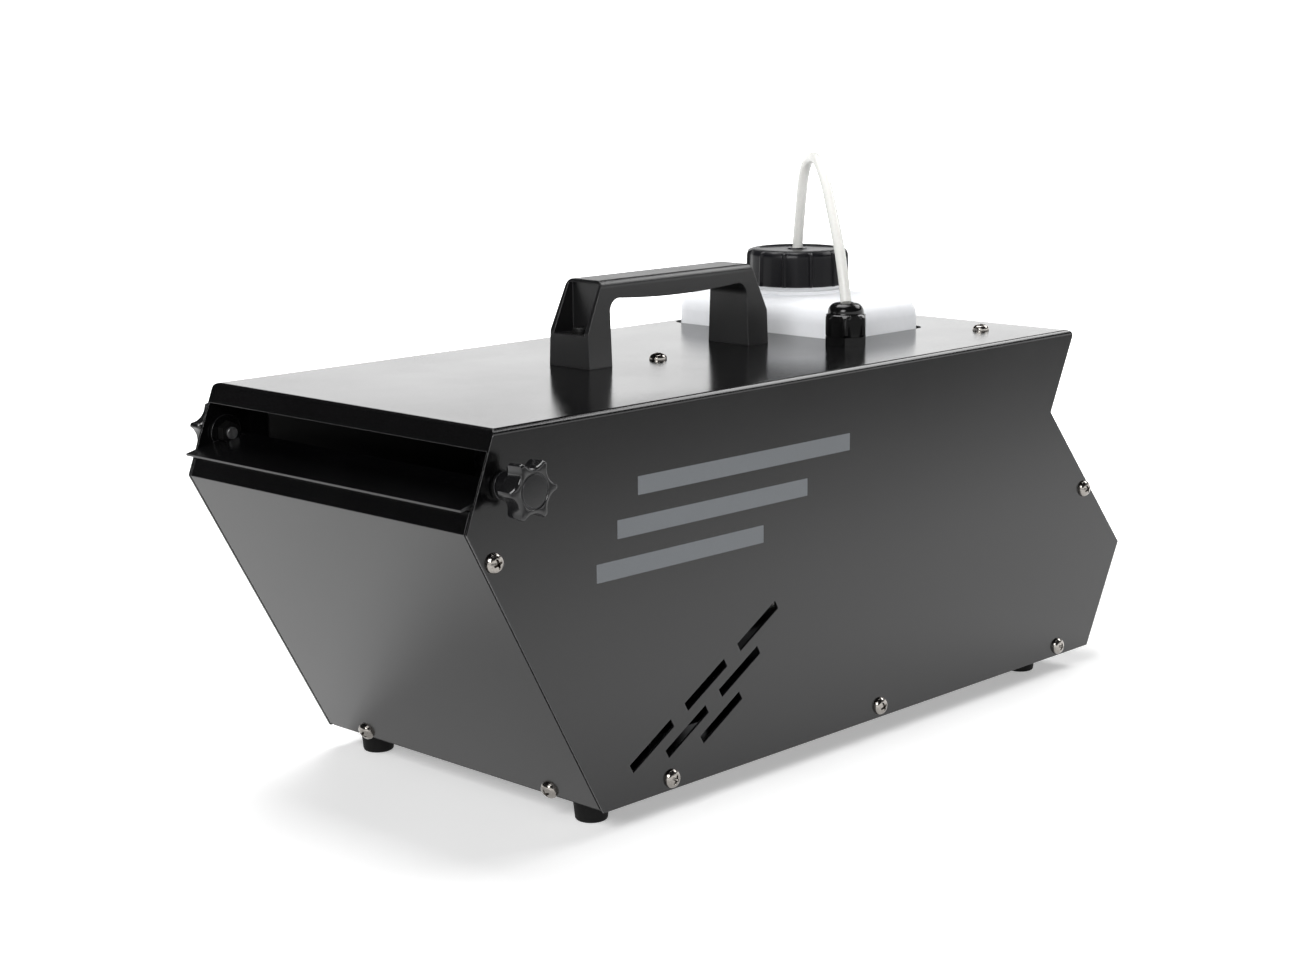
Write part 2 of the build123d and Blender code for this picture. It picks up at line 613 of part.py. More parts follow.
def make_gland_nut():
    """A hexagon with a slotted look above: chamfered corners under a round dome."""
    low = TOP + 4.9
    top = GLAND_TOP - low
    half = GLAND_FLATS / 2
    nut = extrude(Rot(0, 0, GLAND_TURN) * RegularPolygon(half, 6, major_radius=False), amount=top)
    lathe = [(0, 0), (half + 1.7, 0), (half + 1.7, top - 6.6), (half - 1.0, top - 5.2),
             (half - 1.0, top - 3.6), (half - 4.6, top), (0, top)]
    body = revolve(Plane.XZ * make_face(Polyline(*lathe, close=True)), axis=Axis.Z)
    nut = nut & body
    nut -= extrude(Circle(8.9), amount=7.0)
    nut -= extrude(Circle(7.1), amount=top - 4.4)
    nut -= extrude(Circle(TUBE_RADIUS + 0.35), amount=top + 5)
    return Pos(GLAND_X, GLAND_Y, low) * nut


def make_gland_locknut():
    return hexagon(GLAND_X, GLAND_Y, TOP - SHEET - 5.0, TOP - SHEET, 24.0, 9.25, GLAND_TURN)


# ---- bottle well -----------------------------------------------------------------------
def make_bottle_well():
    """A folded tray on the floor that holds the bottle upright."""
    half_x = BOTTLE_WIDTH / 2 + WELL_GAP
    half_y = BOTTLE_DEPTH / 2 + WELL_GAP
    low = FOOT_HEIGHT + SHEET
    x = (BOTTLE_X - half_x - SHEET, BOTTLE_X + half_x + SHEET)
    y = (BOTTLE_Y - half_y - SHEET, BOTTLE_Y + half_y + SHEET)
    well = block(x, y, (low, WELL_TOP))
    well -= block((x[0] + SHEET, x[1] - SHEET), (y[0] + SHEET, y[1] - SHEET), (low + SHEET, WELL_TOP + 5))
    for place in (BOTTLE_X - 35, BOTTLE_X + 35):
        window = Pos(place, BOTTLE_Y, (low + WELL_TOP) / 2 + 6) * Box(40, 200, 36)
        well -= window
    return well


# ---- heater ----------------------------------------------------------------------------
def along_y(low, high, radius, bore=0.0):
    return rod((HEATER_X, low, HEATER_Z), (HEATER_X, high, HEATER_Z), radius, bore)


def make_heater_shell():
    """A bright can with a hole for the pipe at each end."""
    can = along_y(HEATER_FRONT, HEATER_REAR, HEATER_RADIUS)
    can -= along_y(HEATER_FRONT + 1, HEATER_REAR - 1, HEATER_RADIUS - 1)
    can -= along_y(HEATER_FRONT - 5, HEATER_REAR + 5, PIPE_RADIUS + 1)
    return can


def make_heater_insulation():
    return along_y(HEATER_FRONT + 6, HEATER_REAR - 6, HEATER_RADIUS - 1.2, HEATER_CORE + 0.2)


def make_heater_core():
    core = along_y(HEATER_FRONT + 8, HEATER_REAR - 8, HEATER_CORE)
    core -= along_y(HEATER_FRONT, HEATER_REAR, PIPE_BORE)
    core -= along_y(HEATER_FRONT, HEATER_FRONT + 20, PIPE_RADIUS)
    core -= along_y(HEATER_REAR - 20, HEATER_REAR, PIPE_RADIUS)
    for side in (-1, 1):
        x = HEATER_X + side * 12
        core -= rod((x, HEATER_FRONT, HEATER_Z), (x, HEATER_REAR, HEATER_Z), 4.0)
    return core


def make_heater_elements():
    """Two cartridge elements in the core's outer bores."""
    elements = []
    for side in (-1, 1):
        x = HEATER_X + side * 12
        elements.append(rod((x, HEATER_FRONT + 10, HEATER_Z), (x, HEATER_REAR - 9, HEATER_Z), 3.9))
    return elements


def make_heater_saddles():
    """Two cradles under the can, each a plate with a round cut."""
    low = FOOT_HEIGHT + SHEET
    saddles = []
    for y in (HEATER_FRONT + 25, HEATER_REAR - 31):
        plate = block((HEATER_X - 26, HEATER_X + 26), (y, y + 6), (low, HEATER_Z - 12))
        saddles.append(plate - along_y(0, 400, HEATER_RADIUS))
    return saddles


def make_thermostat():
    """A round thermal switch that sits on top of the can."""
    z = HEATER_Z + HEATER_RADIUS + 0.1
    y = (HEATER_FRONT + HEATER_REAR) / 2
    switch = disc(HEATER_X, y, z, z + 7, 8.0)
    for x in (HEATER_X - 5, HEATER_X + 5):
        switch += block((x - 3, x + 3), (y - 0.5, y + 0.5), (z + 6, z + 15))
    return switch


def make_vapour_pipe():
    """From the heater's front end, up through the duct's floor and forward."""
    start = (HEATER_X, HEATER_FRONT + 20, HEATER_Z)
    corner = (HEATER_X, PIPE_Y, HEATER_Z)
    turn = (HEATER_X, PIPE_Y, NOZZLE_Z)
    end = (HEATER_X, PIPE_Y - NOZZLE_REACH, NOZZLE_Z)
    return pipe([start, corner, turn, end], 11.0, PIPE_RADIUS, PIPE_BORE)


def make_nozzle():
    """A brass tip on the end of the vapour pipe."""
    end = PIPE_Y - NOZZLE_REACH
    start = (HEATER_X, end, NOZZLE_Z)
    tip = (HEATER_X, end - 8, NOZZLE_Z)
    nozzle = rod(start, tip, 5.5, 1.2)
    return nozzle + rod((HEATER_X, end + 3, NOZZLE_Z), start, 5.5, PIPE_RADIUS)


# ---- fan and duct ----------------------------------------------------------------------
def duct_form(wall):
    """The duct's tapered form: square at the fan, wide and flat at the slot."""
    size = DUCT_BACK - 2 * wall
    back = Plane(origin=(0, FAN_FRONT, FAN_Z), x_dir=(1, 0, 0), z_dir=(0, -1, 0)) * Rectangle(size, size)
    middle_z = (DUCT_LOW + DUCT_HIGH) / 2
    front_plane = Plane(origin=(0, DUCT_FRONT, middle_z), x_dir=(1, 0, 0), z_dir=(0, -1, 0))
    front = front_plane * Rectangle(2 * (DUCT_HALF - wall), DUCT_HIGH - DUCT_LOW - 2 * wall)
    return loft([back.faces()[0], front.faces()[0]], ruled=True)


def make_outlet_duct():
    """The duct, open at both ends, with a square flange for the fan and two tabs to the top."""
    flange = block((-FAN_SIZE / 2, FAN_SIZE / 2), (FAN_FRONT - 1.5, FAN_FRONT),
                   (FAN_Z - FAN_SIZE / 2, FAN_Z + FAN_SIZE / 2))
    duct = duct_form(0) + flange
    for x in (-DUCT_TABS, DUCT_TABS):
        duct += block((x - 8, x + 8), (DUCT_FRONT + 4, DUCT_FRONT + 5.5), (DUCT_HIGH - 1, TOP - SHEET))
    duct -= duct_form(DUCT_SHEET)
    duct -= disc(HEATER_X, PIPE_Y, TOP - 120, NOZZLE_Z, PIPE_RADIUS + 1.5)
    for plane in small_screw_planes()[:4]:
        duct -= plane * Cylinder(M3_HOLE, 80)
    return duct


def make_fan_frame():
    """A square frame with a round tunnel, and a motor boss held by four arms."""
    half = FAN_SIZE / 2
    frame = block((-half, half), (FAN_FRONT, FAN_FRONT + FAN_DEPTH), (FAN_Z - half, FAN_Z + half))
    frame = fillet(frame.edges().filter_by(Axis.Y), 4.0)
    frame -= rod((0, FAN_FRONT - 1, FAN_Z), (0, FAN_FRONT + FAN_DEPTH + 1, FAN_Z), half - 2)
    back = FAN_FRONT + FAN_DEPTH
    frame += rod((0, back - 4, FAN_Z), (0, back, FAN_Z), 15.0)
    arm = Pos(0, back - 2, FAN_Z) * Box(FAN_SIZE - 2, 4, 4)
    frame += arm + Pos(0, back - 2, FAN_Z) * Box(4, 4, FAN_SIZE - 2)
    frame += rod((0, back - 18, FAN_Z), (0, back - 4, FAN_Z), 1.5)
    for plane in small_screw_planes()[:4]:
        frame -= plane * Cylinder(M3_HOLE, 80)
    return frame


def make_fan_rotor():
    """A hub with seven pitched blades."""
    front = FAN_FRONT + 2
    back = FAN_FRONT + FAN_DEPTH - 5
    rotor = rod((0, front, FAN_Z), (0, back, FAN_Z), 14.5)
    blade = Pos(24.2, 0, 0) * Rot(38, 0, 0) * Box(22.5, 1.6, 20)
    for number in range(7):
        rotor += Pos(0, (front + back) / 2, FAN_Z) * Rot(0, 360 / 7 * number, 0) * blade
    rotor -= rod((0, front + 2, FAN_Z), (0, back + 1, FAN_Z), 1.56)
    return rotor


# ---- pump ------------------------------------------------------------------------------
def make_pump_body():
    """A moulded barrel with a barbed port at each end."""
    low = (PUMP_X, PUMP_FRONT + 14, PUMP_Z)
    high = (PUMP_X, PUMP_FRONT + 76, PUMP_Z)
    body = rod(low, high, 8.0)
    body += rod((PUMP_X, PUMP_FRONT, PUMP_Z), low, 3.9)
    body += rod(high, (PUMP_X, PUMP_FRONT + 88, PUMP_Z), 3.9)
    body -= rod((PUMP_X, PUMP_FRONT - 1, PUMP_Z), (PUMP_X, PUMP_FRONT + 90, PUMP_Z), 1.8)
    body -= rod((PUMP_X, PUMP_FRONT + 22, PUMP_Z), (PUMP_X, PUMP_FRONT + 66, PUMP_Z), 5.2)
    return body


def make_pump_piston():
    """The sprung piston that the coil drives to and fro."""
    return rod((PUMP_X, PUMP_FRONT + 30, PUMP_Z), (PUMP_X, PUMP_FRONT + 54, PUMP_Z), 5.12, 1.5)


def make_pump_coil():
    """The winding, with a block on top for its two wires."""
    coil = rod((PUMP_X, PUMP_FRONT + 24, PUMP_Z), (PUMP_X, PUMP_FRONT + 60, PUMP_Z), 16.0, 8.1)
    wires = block((PUMP_X - 5, PUMP_X + 5), (PUMP_FRONT + 30, PUMP_FRONT + 54), (PUMP_Z + 13, PUMP_Z + 22))
    return coil + wires


def make_pump_frame():
    """A steel yoke round the coil, with two feet on the floor."""
    half = PUMP_COIL / 2
    front = PUMP_FRONT + 21
    back = PUMP_FRONT + 63
    low = FOOT_HEIGHT + SHEET
    yoke = block((PUMP_X - half, PUMP_X + half), (front, front + 2.5), (low, PUMP_Z + 16))
    yoke += block((PUMP_X - half, PUMP_X + half), (back - 2.5, back), (low, PUMP_Z + 16))
    yoke += block((PUMP_X - half, PUMP_X + half), (front, back), (low, low + 2.5))
    return yoke - rod((PUMP_X, PUMP_FRONT, PUMP_Z), (PUMP_X, PUMP_FRONT + 90, PUMP_Z), 8.1)


def make_suction_hose():
    """From under the gland's tube round to the pump's front port."""
    low = FOOT_HEIGHT + SHEET + 5
    points = [(GLAND_X, GLAND_Y, FEED_END - 0.4), (GLAND_X, GLAND_Y, low), (PUMP_X, GLAND_Y, low),
              (PUMP_X, GLAND_Y, PUMP_Z), (PUMP_X, PUMP_FRONT, PUMP_Z)]
    return pipe(points, 5.0, TUBE_RADIUS, TUBE_BORE)


def make_pressure_hose():
    """From the pump's rear port, back over the pump and forward into the heater."""
    back = PUMP_FRONT + 88
    points = [(PUMP_X, back, PUMP_Z), (PUMP_X, back + 13, PUMP_Z), (PUMP_X + 24, back + 13, PUMP_Z + 26),
              (PUMP_X + 24, HEATER_REAR + 30, PUMP_Z + 26), (HEATER_X, HEATER_REAR + 20, HEATER_Z),
              (HEATER_X, HEATER_REAR - 20, HEATER_Z)]
    return pipe(points, 8.0, TUBE_RADIUS, TUBE_BORE)


# ---- electronics -----------------------------------------------------------------------
POWER_BOARD = ((-88.0, 2.0), (128.0, 268.0), (22.0, 22.0 + BOARD))


def make_power_board():
    board = block(*POWER_BOARD)
    for x, y in standoff_places():
        board -= disc(x, y, 10, 40, M3_HOLE)
    return board


def standoff_places():
    (left, right), (front, rear) = POWER_BOARD[0], POWER_BOARD[1]
    return [(x, y) for x in (left + 5, right - 5) for y in (front + 5, rear - 5)]


def make_power_board_parts():
    """Transformer, relay, three capacitors, a heat sink and a terminal block."""
    base = POWER_BOARD[2][1]
    parts = [
        block((-78, -38), (140, 175), (base, base + 33)),
        block((-28, -12), (142, 170), (base, base + 16)),
        block((-84, -80), (190, 240), (base, base + 28)),
        block((-60, -20), (245, 256), (base, base + 12)),
    ]
    for number in range(3):
        parts.append(disc(-62 + 20 * number, 205, base, base + 24, 7.0))
    return parts


def make_standoffs():
    """Four under the power board, and four that hold the control board off its panel."""
    low = FOOT_HEIGHT + SHEET
    posts = [disc(x, y, low, POWER_BOARD[2][0], 3.0, M3_HOLE) for x, y in standoff_places()]
    post = extrude(Circle(3) - Circle(M3_HOLE), amount=CONTROL_BOARD_DEPTH - SHEET)
    posts += [CONTROL * Pos(x, y, -CONTROL_BOARD_DEPTH) * post for x, y in CONTROL_POSTS]
    return posts


def make_control_board():
    board = Box(130, 64, BOARD, align=(Align.CENTER, Align.CENTER, Align.MAX))
    board = CONTROL * Pos(0, 18, -CONTROL_BOARD_DEPTH) * board
    for x, y in CONTROL_POSTS:
        board -= CONTROL * Pos(x, y, -CONTROL_BOARD_DEPTH) * Cylinder(M3_HOLE, 10)
    return board


def make_control_board_parts():
    """The display module and a tactile switch under each button."""
    deep = -CONTROL_BOARD_DEPTH
    module = Box(80, 30, 9, align=(Align.CENTER, Align.CENTER, Align.MIN))
    parts = [CONTROL * Pos(0, DISPLAY_RISE, deep) * module]
    for x in button_places():
        switch = Box(6, 6, 4, align=(Align.CENTER, Align.CENTER, Align.MIN))
        parts.append(CONTROL * Pos(x, BUTTON_ROW, deep) * switch)
    return parts


def make_display_window():
    """A clear pane with a rim behind the panel's window."""
    width, height = DISPLAY_SIZE
    pane = Box(width - 0.4, height - 0.4, 2.0, align=(Align.CENTER, Align.CENTER, Align.MAX))
    rim = Box(width + 6, height + 6, 1.5, align=(Align.CENTER, Align.CENTER, Align.MAX))
    return CONTROL * Pos(0, DISPLAY_RISE, 0) * (pane + Pos(0, 0, -SHEET) * rim)


def make_button(x):
    """A round cap that stands proud of the panel, with a collar behind it."""
    stem = Pos(0, 0, -8.2) * extrude(Circle(BUTTON_RADIUS), amount=10.2)
    stem = fillet(stem.edges().group_by(Axis.Z)[-1], 1.0)
    collar = Pos(0, 0, -4.2) * extrude(Circle(BUTTON_RADIUS + 1.4), amount=1.5)
    return CONTROL * Pos(x, BUTTON_ROW, 0) * (stem + collar)


def socket(male):
    """A round three-pole signal socket on a square flange."""
    flange = extrude(RectangleRounded(26, 31, 3), amount=2.0)
    barrel = extrude(Circle(11.2), amount=-16)
    body = flange + barrel
    ring = [(3.6, 2.6), (-3.6, 2.6), (0, -4.4)]
    if male:
        body -= Pos(0, 0, 2) * extrude(Circle(9.4), amount=-13)
        for x, y in ring:
            body += Pos(x, y, -12) * extrude(Circle(1.2), amount=9)
        body += Pos(0, 0, -12) * extrude(Circle(2.0), amount=1.5)
    else:
        for x, y in ring:
            body -= Pos(x, y, 2) * extrude(Circle(1.35), amount=-10)
        body -= Pos(0, 0, 2) * (extrude(Circle(9.6) - Circle(8.4), amount=-9))
    for x, y in ((-9.5, 12), (9.5, -12)):
        body -= Pos(x, y, -1) * extrude(Circle(M3_HOLE), amount=5)
    return body


def make_signal_sockets():
    return [CONTROL * Pos(x, SOCKET_ROW, 0) * socket(male) for x, male in zip(SOCKET_PLACES, (True, False))]


def make_mains_inlet():
    """A three-pin mains inlet over a fuse drawer, with a screw ear on each side."""
    body = extrude(RectangleRounded(50, 20, 5), amount=2.4)
    body += extrude(RectangleRounded(31, 38, 2), amount=2.4)
    body += extrude(Rectangle(27, 34), amount=-24)
    for side in (-1, 1):
        body -= Pos(side * INLET_SCREW, 0, -1) * extrude(Circle(M3_HOLE), amount=8)
    body -= Pos(0, 6.5, 2.4) * extrude(RectangleRounded(24, 16, 3), amount=-18)
    body += Pos(0, 6.5, -16) * extrude(RectangleRounded(15.6, 8.0, 1.5), amount=0.6)
    body -= Pos(0, -10.5, 2.4) * extrude(Rectangle(23, 8.6), amount=-22)
    return TAIL * Pos(INLET_PLACE, 0, 0) * body


def make_mains_pins():
    pin = Box(2, 4, 13, align=(Align.CENTER, Align.CENTER, Align.MIN))
    return [TAIL * Pos(INLET_PLACE + x, y, -15) * pin for x, y in ((-7, 4.5), (7, 4.5), (0, 8.5))]


def make_fuse_drawer():
    """A small drawer with a finger lip that carries the fuse."""
    drawer = Pos(0, -10.5, 0) * extrude(Rectangle(22.4, 8.0), amount=-18)
    drawer += Pos(0, -10.5, 0) * extrude(Rectangle(22.4, 8.0), amount=2.6)
    drawer += Pos(0, -10.5, 2.5) * extrude(RectangleRounded(24.4, 10.0, 1.0), amount=1.2)
    drawer -= Pos(0, -8.1, -2) * extrude(Rectangle(19.5, 5.6), amount=-14)
    return TAIL * Pos(INLET_PLACE, 0, 0) * drawer


def make_rocker_frame():
    width, height = ROCKER_HALF
    frame = extrude(RectangleRounded(21, 28, 1.5), amount=2.0) + extrude(Rectangle(19, 25), amount=-16)
    frame -= Pos(0, 0, 2) * extrude(Rectangle(2 * width + 0.8, 2 * height + 0.8), amount=-14)
    return TAIL * Pos(ROCKER_PLACE, 0, 0) * frame


def make_rocker():
    """The rocker: a round-backed key with a shallow V face, pressed in at its upper half."""
    width, height = ROCKER_HALF
    reach = height - 0.3
    points = [(-reach, 2.6), (0, 1.0), (reach, 2.6), (reach * 0.86, -5.5), (-reach * 0.86, -5.5)]
    face = make_face(Polyline(*[(along, rise + ROCKER_PIVOT) for along, rise in points], close=True))
    key = extrude(Pos(-width, 0, 0) * (Plane.YZ * face), amount=2 * width, dir=(1, 0, 0))
    round_back = Rot(0, 90, 0) * Cylinder(reach, 40)
    key = key & round_back
    return TAIL * Pos(ROCKER_PLACE, 0, -ROCKER_PIVOT) * Rot(-ROCKER_REST, 0, 0) * key


def small_screw_planes():
    """Planes under each small screw's head: fan, sockets, inlet, then the two boards."""
    planes = []
    reach = FAN_SIZE / 2 - 4.2
    for x in (-reach, reach):
        for z in (FAN_Z - reach, FAN_Z + reach):
            planes.append(Plane(origin=(x, FAN_FRONT - 1.5, z), z_dir=(0, -1, 0)))
    for place in SOCKET_PLACES:
        for x, y in ((-9.5, 12), (9.5, -12)):
            planes.append(CONTROL * Pos(place + x, SOCKET_ROW + y, 2.0))
    for side in (-1, 1):
        planes.append(TAIL * Pos(INLET_PLACE + side * INLET_SCREW, 0, 2.4))
    for x, y in standoff_places():
        planes.append(Plane(origin=(x, y, POWER_BOARD[2][1])))
    for x, y in CONTROL_POSTS:
        planes.append(CONTROL * Pos(x, y, -CONTROL_BOARD_DEPTH - BOARD) * Rot(180, 0, 0))
    return planes


def make_small_screws():
    long_screw = pan_screw(M3_HEAD, M3_SHANK, FAN_DEPTH + 4)
    short_screw = pan_screw(M3_HEAD, M3_SHANK, 8.0)
    planes = small_screw_planes()
    return [plane * long_screw for plane in planes[:4]] + [plane * short_screw for plane in planes[4:]]


# ---- export ----------------------------------------------------------------------------
NODES = {
    "cover": make_cover(),
    "front_panel": make_front_panel(),
    "base_plate": make_base_plate(),
    "rear_panel": make_rear_panel(),
    "casing_screws": make_casing_screws(),
    "feet": make_feet(),
    "foot_screws": make_foot_screws(),
    "handle": make_handle(),
    "handle_bolts": make_handle_bolts(),
    "outlet_flap": make_flap(),
    "flap_nuts": make_flap_nuts(),
    "knob_washers": make_knob_washers(),
    "knob_right": make_knob(1),
    "knob_right_stud": make_knob_stud(1),
    "knob_left": make_knob(-1),
    "knob_left_stud": make_knob_stud(-1),
    "bottle": make_bottle(),
    "bottle_cap": make_bottle_cap(),
    "cap_liner": make_cap_liner(),
    "tube_ends": make_tube_ends(),
    "fluid_tube": make_fluid_tube(),
    "gland_body": make_gland_body(),
    "gland_seal": make_gland_seal(),
    "gland_nut": make_gland_nut(),
    "gland_locknut": make_gland_locknut(),
    "bottle_well": make_bottle_well(),
    "heater_shell": make_heater_shell(),
    "heater_insulation": make_heater_insulation(),
    "heater_core": make_heater_core(),
    "heater_elements": make_heater_elements(),
    "heater_saddles": make_heater_saddles(),
    "thermostat": make_thermostat(),
    "vapour_pipe": make_vapour_pipe(),
    "nozzle": make_nozzle(),
    "outlet_duct": make_outlet_duct(),
    "fan_frame": make_fan_frame(),
    "fan_rotor": make_fan_rotor(),
    "pump_body": make_pump_body(),
    "pump_piston": make_pump_piston(),
    "pump_coil": make_pump_coil(),
    "pump_frame": make_pump_frame(),
    "suction_hose": make_suction_hose(),
    "pressure_hose": make_pressure_hose(),
    "power_board": make_power_board(),
    "power_board_parts": make_power_board_parts(),
    "board_standoffs": make_standoffs(),
    "control_board": make_control_board(),
    "control_board_parts": make_control_board_parts(),
    "display_window": make_display_window(),
    "signal_sockets": make_signal_sockets(),
    "mains_inlet": make_mains_inlet(),
    "mains_pins": make_mains_pins(),
    "fuse_drawer": make_fuse_drawer(),
    "rocker_frame": make_rocker_frame(),
    "rocker": make_rocker(),
    "small_screws": make_small_screws(),
}
for number, x in enumerate(button_places(), start=1):
    NODES[f"button_{number}"] = make_button(x)


def as_solids(shape):
    """The separate solids of a node, whether it was made as one shape or as a list."""
    shapes = shape if isinstance(shape, list) else [shape]
    return [solid for piece in shapes for solid in piece.solids()]


os.makedirs("parts", exist_ok=True)
for name, shape in NODES.items():
    solids = [solid.moved(TO_ORIGIN) for solid in as_solids(shape)]
    export_step(solids[0] if len(solids) == 1 else Compound(children=solids), f"parts/{name}.step")
print(len(NODES), "nodes")
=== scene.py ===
import math

import bmesh
import bpy
from mathutils import Matrix, Vector


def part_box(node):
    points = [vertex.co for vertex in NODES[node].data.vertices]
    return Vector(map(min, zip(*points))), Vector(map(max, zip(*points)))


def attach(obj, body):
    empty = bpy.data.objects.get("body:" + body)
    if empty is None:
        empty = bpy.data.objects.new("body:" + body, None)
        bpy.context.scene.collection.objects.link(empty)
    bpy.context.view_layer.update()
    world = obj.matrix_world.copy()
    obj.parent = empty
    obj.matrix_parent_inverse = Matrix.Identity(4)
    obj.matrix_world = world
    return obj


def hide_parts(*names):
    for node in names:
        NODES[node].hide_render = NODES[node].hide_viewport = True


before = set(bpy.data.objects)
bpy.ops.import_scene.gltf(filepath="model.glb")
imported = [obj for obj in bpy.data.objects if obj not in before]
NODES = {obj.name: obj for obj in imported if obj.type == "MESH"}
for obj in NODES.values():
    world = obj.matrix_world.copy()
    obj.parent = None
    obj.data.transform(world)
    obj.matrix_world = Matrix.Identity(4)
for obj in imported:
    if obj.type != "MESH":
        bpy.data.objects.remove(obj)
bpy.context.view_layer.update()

# The frame is in metres, with -Y to the front and +Z up. Its origin lies this far to the
# right of the casing's middle and this far behind the casing's top front edge.
CENTRE_X = 0.00555
CENTRE_Y = 0.24425

# The casing's half width and the height of its top above the floor, in millimetres.
SIDE = 105.0
TOP = 206.0


def place(x, y, z):
    """A point given in millimetres from the casing's middle, its top front edge and the floor."""
    return Vector((x / 1000 - CENTRE_X, y / 1000 - CENTRE_Y, z / 1000))


# ---- materials -------------------------------------------------------------------------
def add_noise(tree, coordinates, scale, detail=4.0, stretch=None):
    """A noise texture on the object's own coordinates, stretched along an axis if asked."""
    noise = tree.nodes.new("ShaderNodeTexNoise")
    noise.inputs["Scale"].default_value = scale
    noise.inputs["Detail"].default_value = detail
    source = coordinates.outputs["Object"]
    if stretch:
        mapping = tree.nodes.new("ShaderNodeMapping")
        mapping.inputs["Scale"].default_value = stretch
        tree.links.new(source, mapping.inputs["Vector"])
        source = mapping.outputs["Vector"]
    tree.links.new(source, noise.inputs["Vector"])
    return noise.outputs["Fac"]


def remap(tree, value, from_low, from_high, to_low, to_high):
    """A value moved from one range to another and clamped there."""
    node = tree.nodes.new("ShaderNodeMapRange")
    ranges = {"From Min": from_low, "From Max": from_high, "To Min": to_low, "To Max": to_high}
    for name, number in ranges.items():
        node.inputs[name].default_value = number
    tree.links.new(value, node.inputs["Value"])
    return node.outputs["Result"]


def mix_colour(tree, factor, first, second):
    """A colour mix. Each colour is a socket or an RGB tuple."""
    node = tree.nodes.new("ShaderNodeMix")
    node.data_type = "RGBA"
    tree.links.new(factor, node.inputs["Factor"])
    for socket, colour in ((node.inputs[6], first), (node.inputs[7], second)):
        if isinstance(colour, tuple):
            socket.default_value = (*colour, 1.0)
        else:
            tree.links.new(colour, socket)
    return node.outputs[2]


def math_node(tree, operation, first, second):
    """A sum, product or other result of two values. Each value is a socket or a number."""
    node = tree.nodes.new("ShaderNodeMath")
    node.operation = operation
    for socket, value in zip(node.inputs, (first, second)):
        if isinstance(value, (int, float)):
            socket.default_value = value
        else:
            tree.links.new(value, socket)
    return node.outputs[0]


# Noise per metre of the broad unevenness that every surface has, and the shares of the
# broad and the fine noise in a surface's tone and gloss.
BROAD_NOISE = 16.0
BROAD_SHARE = 0.55
FINE_SHARE = 0.45

# The noise values between which the tone and the gloss go from one end to the other, and
# how alike the softened and the plain normal are where an edge starts to take its lighter
# colour, partly wear and partly a painted highlight, and where it takes it fully.
TONE_NOISE = (0.35, 0.65)
GLOSS_NOISE = (0.3, 0.7)
EDGE_LIKENESS = (0.97, 0.80)


def make_finish(name, dark, light, roughness, grain, bump,
                spread=0.05, edge=0.0, edge_wear_and_highlight=None, stretch=None, **sockets):
    """A surface with two wandering tones, uneven gloss, a fine bump and, if asked, edges that show wear and a
    painted highlight.

    grain is the fine noise per metre, bump its height in metres, spread how far the roughness
    wanders to either side, edge the radius that sharp edges are softened to, and
    edge_wear_and_highlight the lighter colour that those edges show, partly wear and partly a
    painted highlight. Other sockets of the shader are given by name.
    """
    material = bpy.data.materials.new(name)
    material.use_nodes = True
    tree = material.node_tree
    shader = tree.nodes["Principled BSDF"]
    coordinates = tree.nodes.new("ShaderNodeTexCoord")
    broad = add_noise(tree, coordinates, BROAD_NOISE)
    fine = add_noise(tree, coordinates, grain, 3.0, stretch)
    broad_part = math_node(tree, "MULTIPLY", broad, BROAD_SHARE)
    fine_part = math_node(tree, "MULTIPLY", fine, FINE_SHARE)
    blend = math_node(tree, "ADD", broad_part, fine_part)
    colour = mix_colour(tree, remap(tree, blend, *TONE_NOISE, 0.0, 1.0), dark, light)
    gloss = remap(tree, blend, *GLOSS_NOISE, roughness - spread, roughness + spread)
    tree.links.new(gloss, shader.inputs["Roughness"])
    normal = tree.nodes.new("ShaderNodeBump")
    normal.inputs["Distance"].default_value = bump
    tree.links.new(fine, normal.inputs["Height"])
    if edge:
        bevel = tree.nodes.new("ShaderNodeBevel")
        bevel.samples = 4
        bevel.inputs["Radius"].default_value = edge
        tree.links.new(bevel.outputs["Normal"], normal.inputs["Normal"])
        # Sharp edges take a lighter colour here, which stands partly for wear and partly for a painted
        # highlight.
        if edge_wear_and_highlight:
            flat = tree.nodes.new("ShaderNodeNewGeometry")
            likeness = tree.nodes.new("ShaderNodeVectorMath")
            likeness.operation = "DOT_PRODUCT"
            tree.links.new(bevel.outputs["Normal"], likeness.inputs[0])
            tree.links.new(flat.outputs["Normal"], likeness.inputs[1])
            edge_wear_and_highlight_mask = remap(tree, likeness.outputs["Value"], *EDGE_LIKENESS, 0.0, 1.0)
            colour = mix_colour(tree, edge_wear_and_highlight_mask, colour, edge_wear_and_highlight)
    tree.links.new(normal.outputs["Normal"], shader.inputs["Normal"])
    tree.links.new(colour, shader.inputs["Base Color"])
    for socket, value in sockets.items():
        shader.inputs[socket.replace("_", " ")].default_value = value
    return material


def between(tree, value, low, high, soft):
    """1 where a coordinate lies between two bounds, with soft ends."""
    rising = remap(tree, value, low - soft, low + soft, 0.0, 1.0)
    falling = remap(tree, value, high - soft, high + soft, 1.0, 0.0)
    return math_node(tree, "MULTIPLY", rising, falling)


# Each stripe on the right side, as (front, rear, low, high) in millimetres.
SIDE_STRIPES = [
    (90.0, 248.0, 163.0, 172.0),
    (76.0, 214.0, 144.0, 153.0),
    (62.0, 180.0, 125.0, 134.0),
]
STRIPE_SOFTNESS = 0.0001
STRIPE_GREY = (0.125, 0.135, 0.145)
STRIPE_ROUGHNESS = 0.55


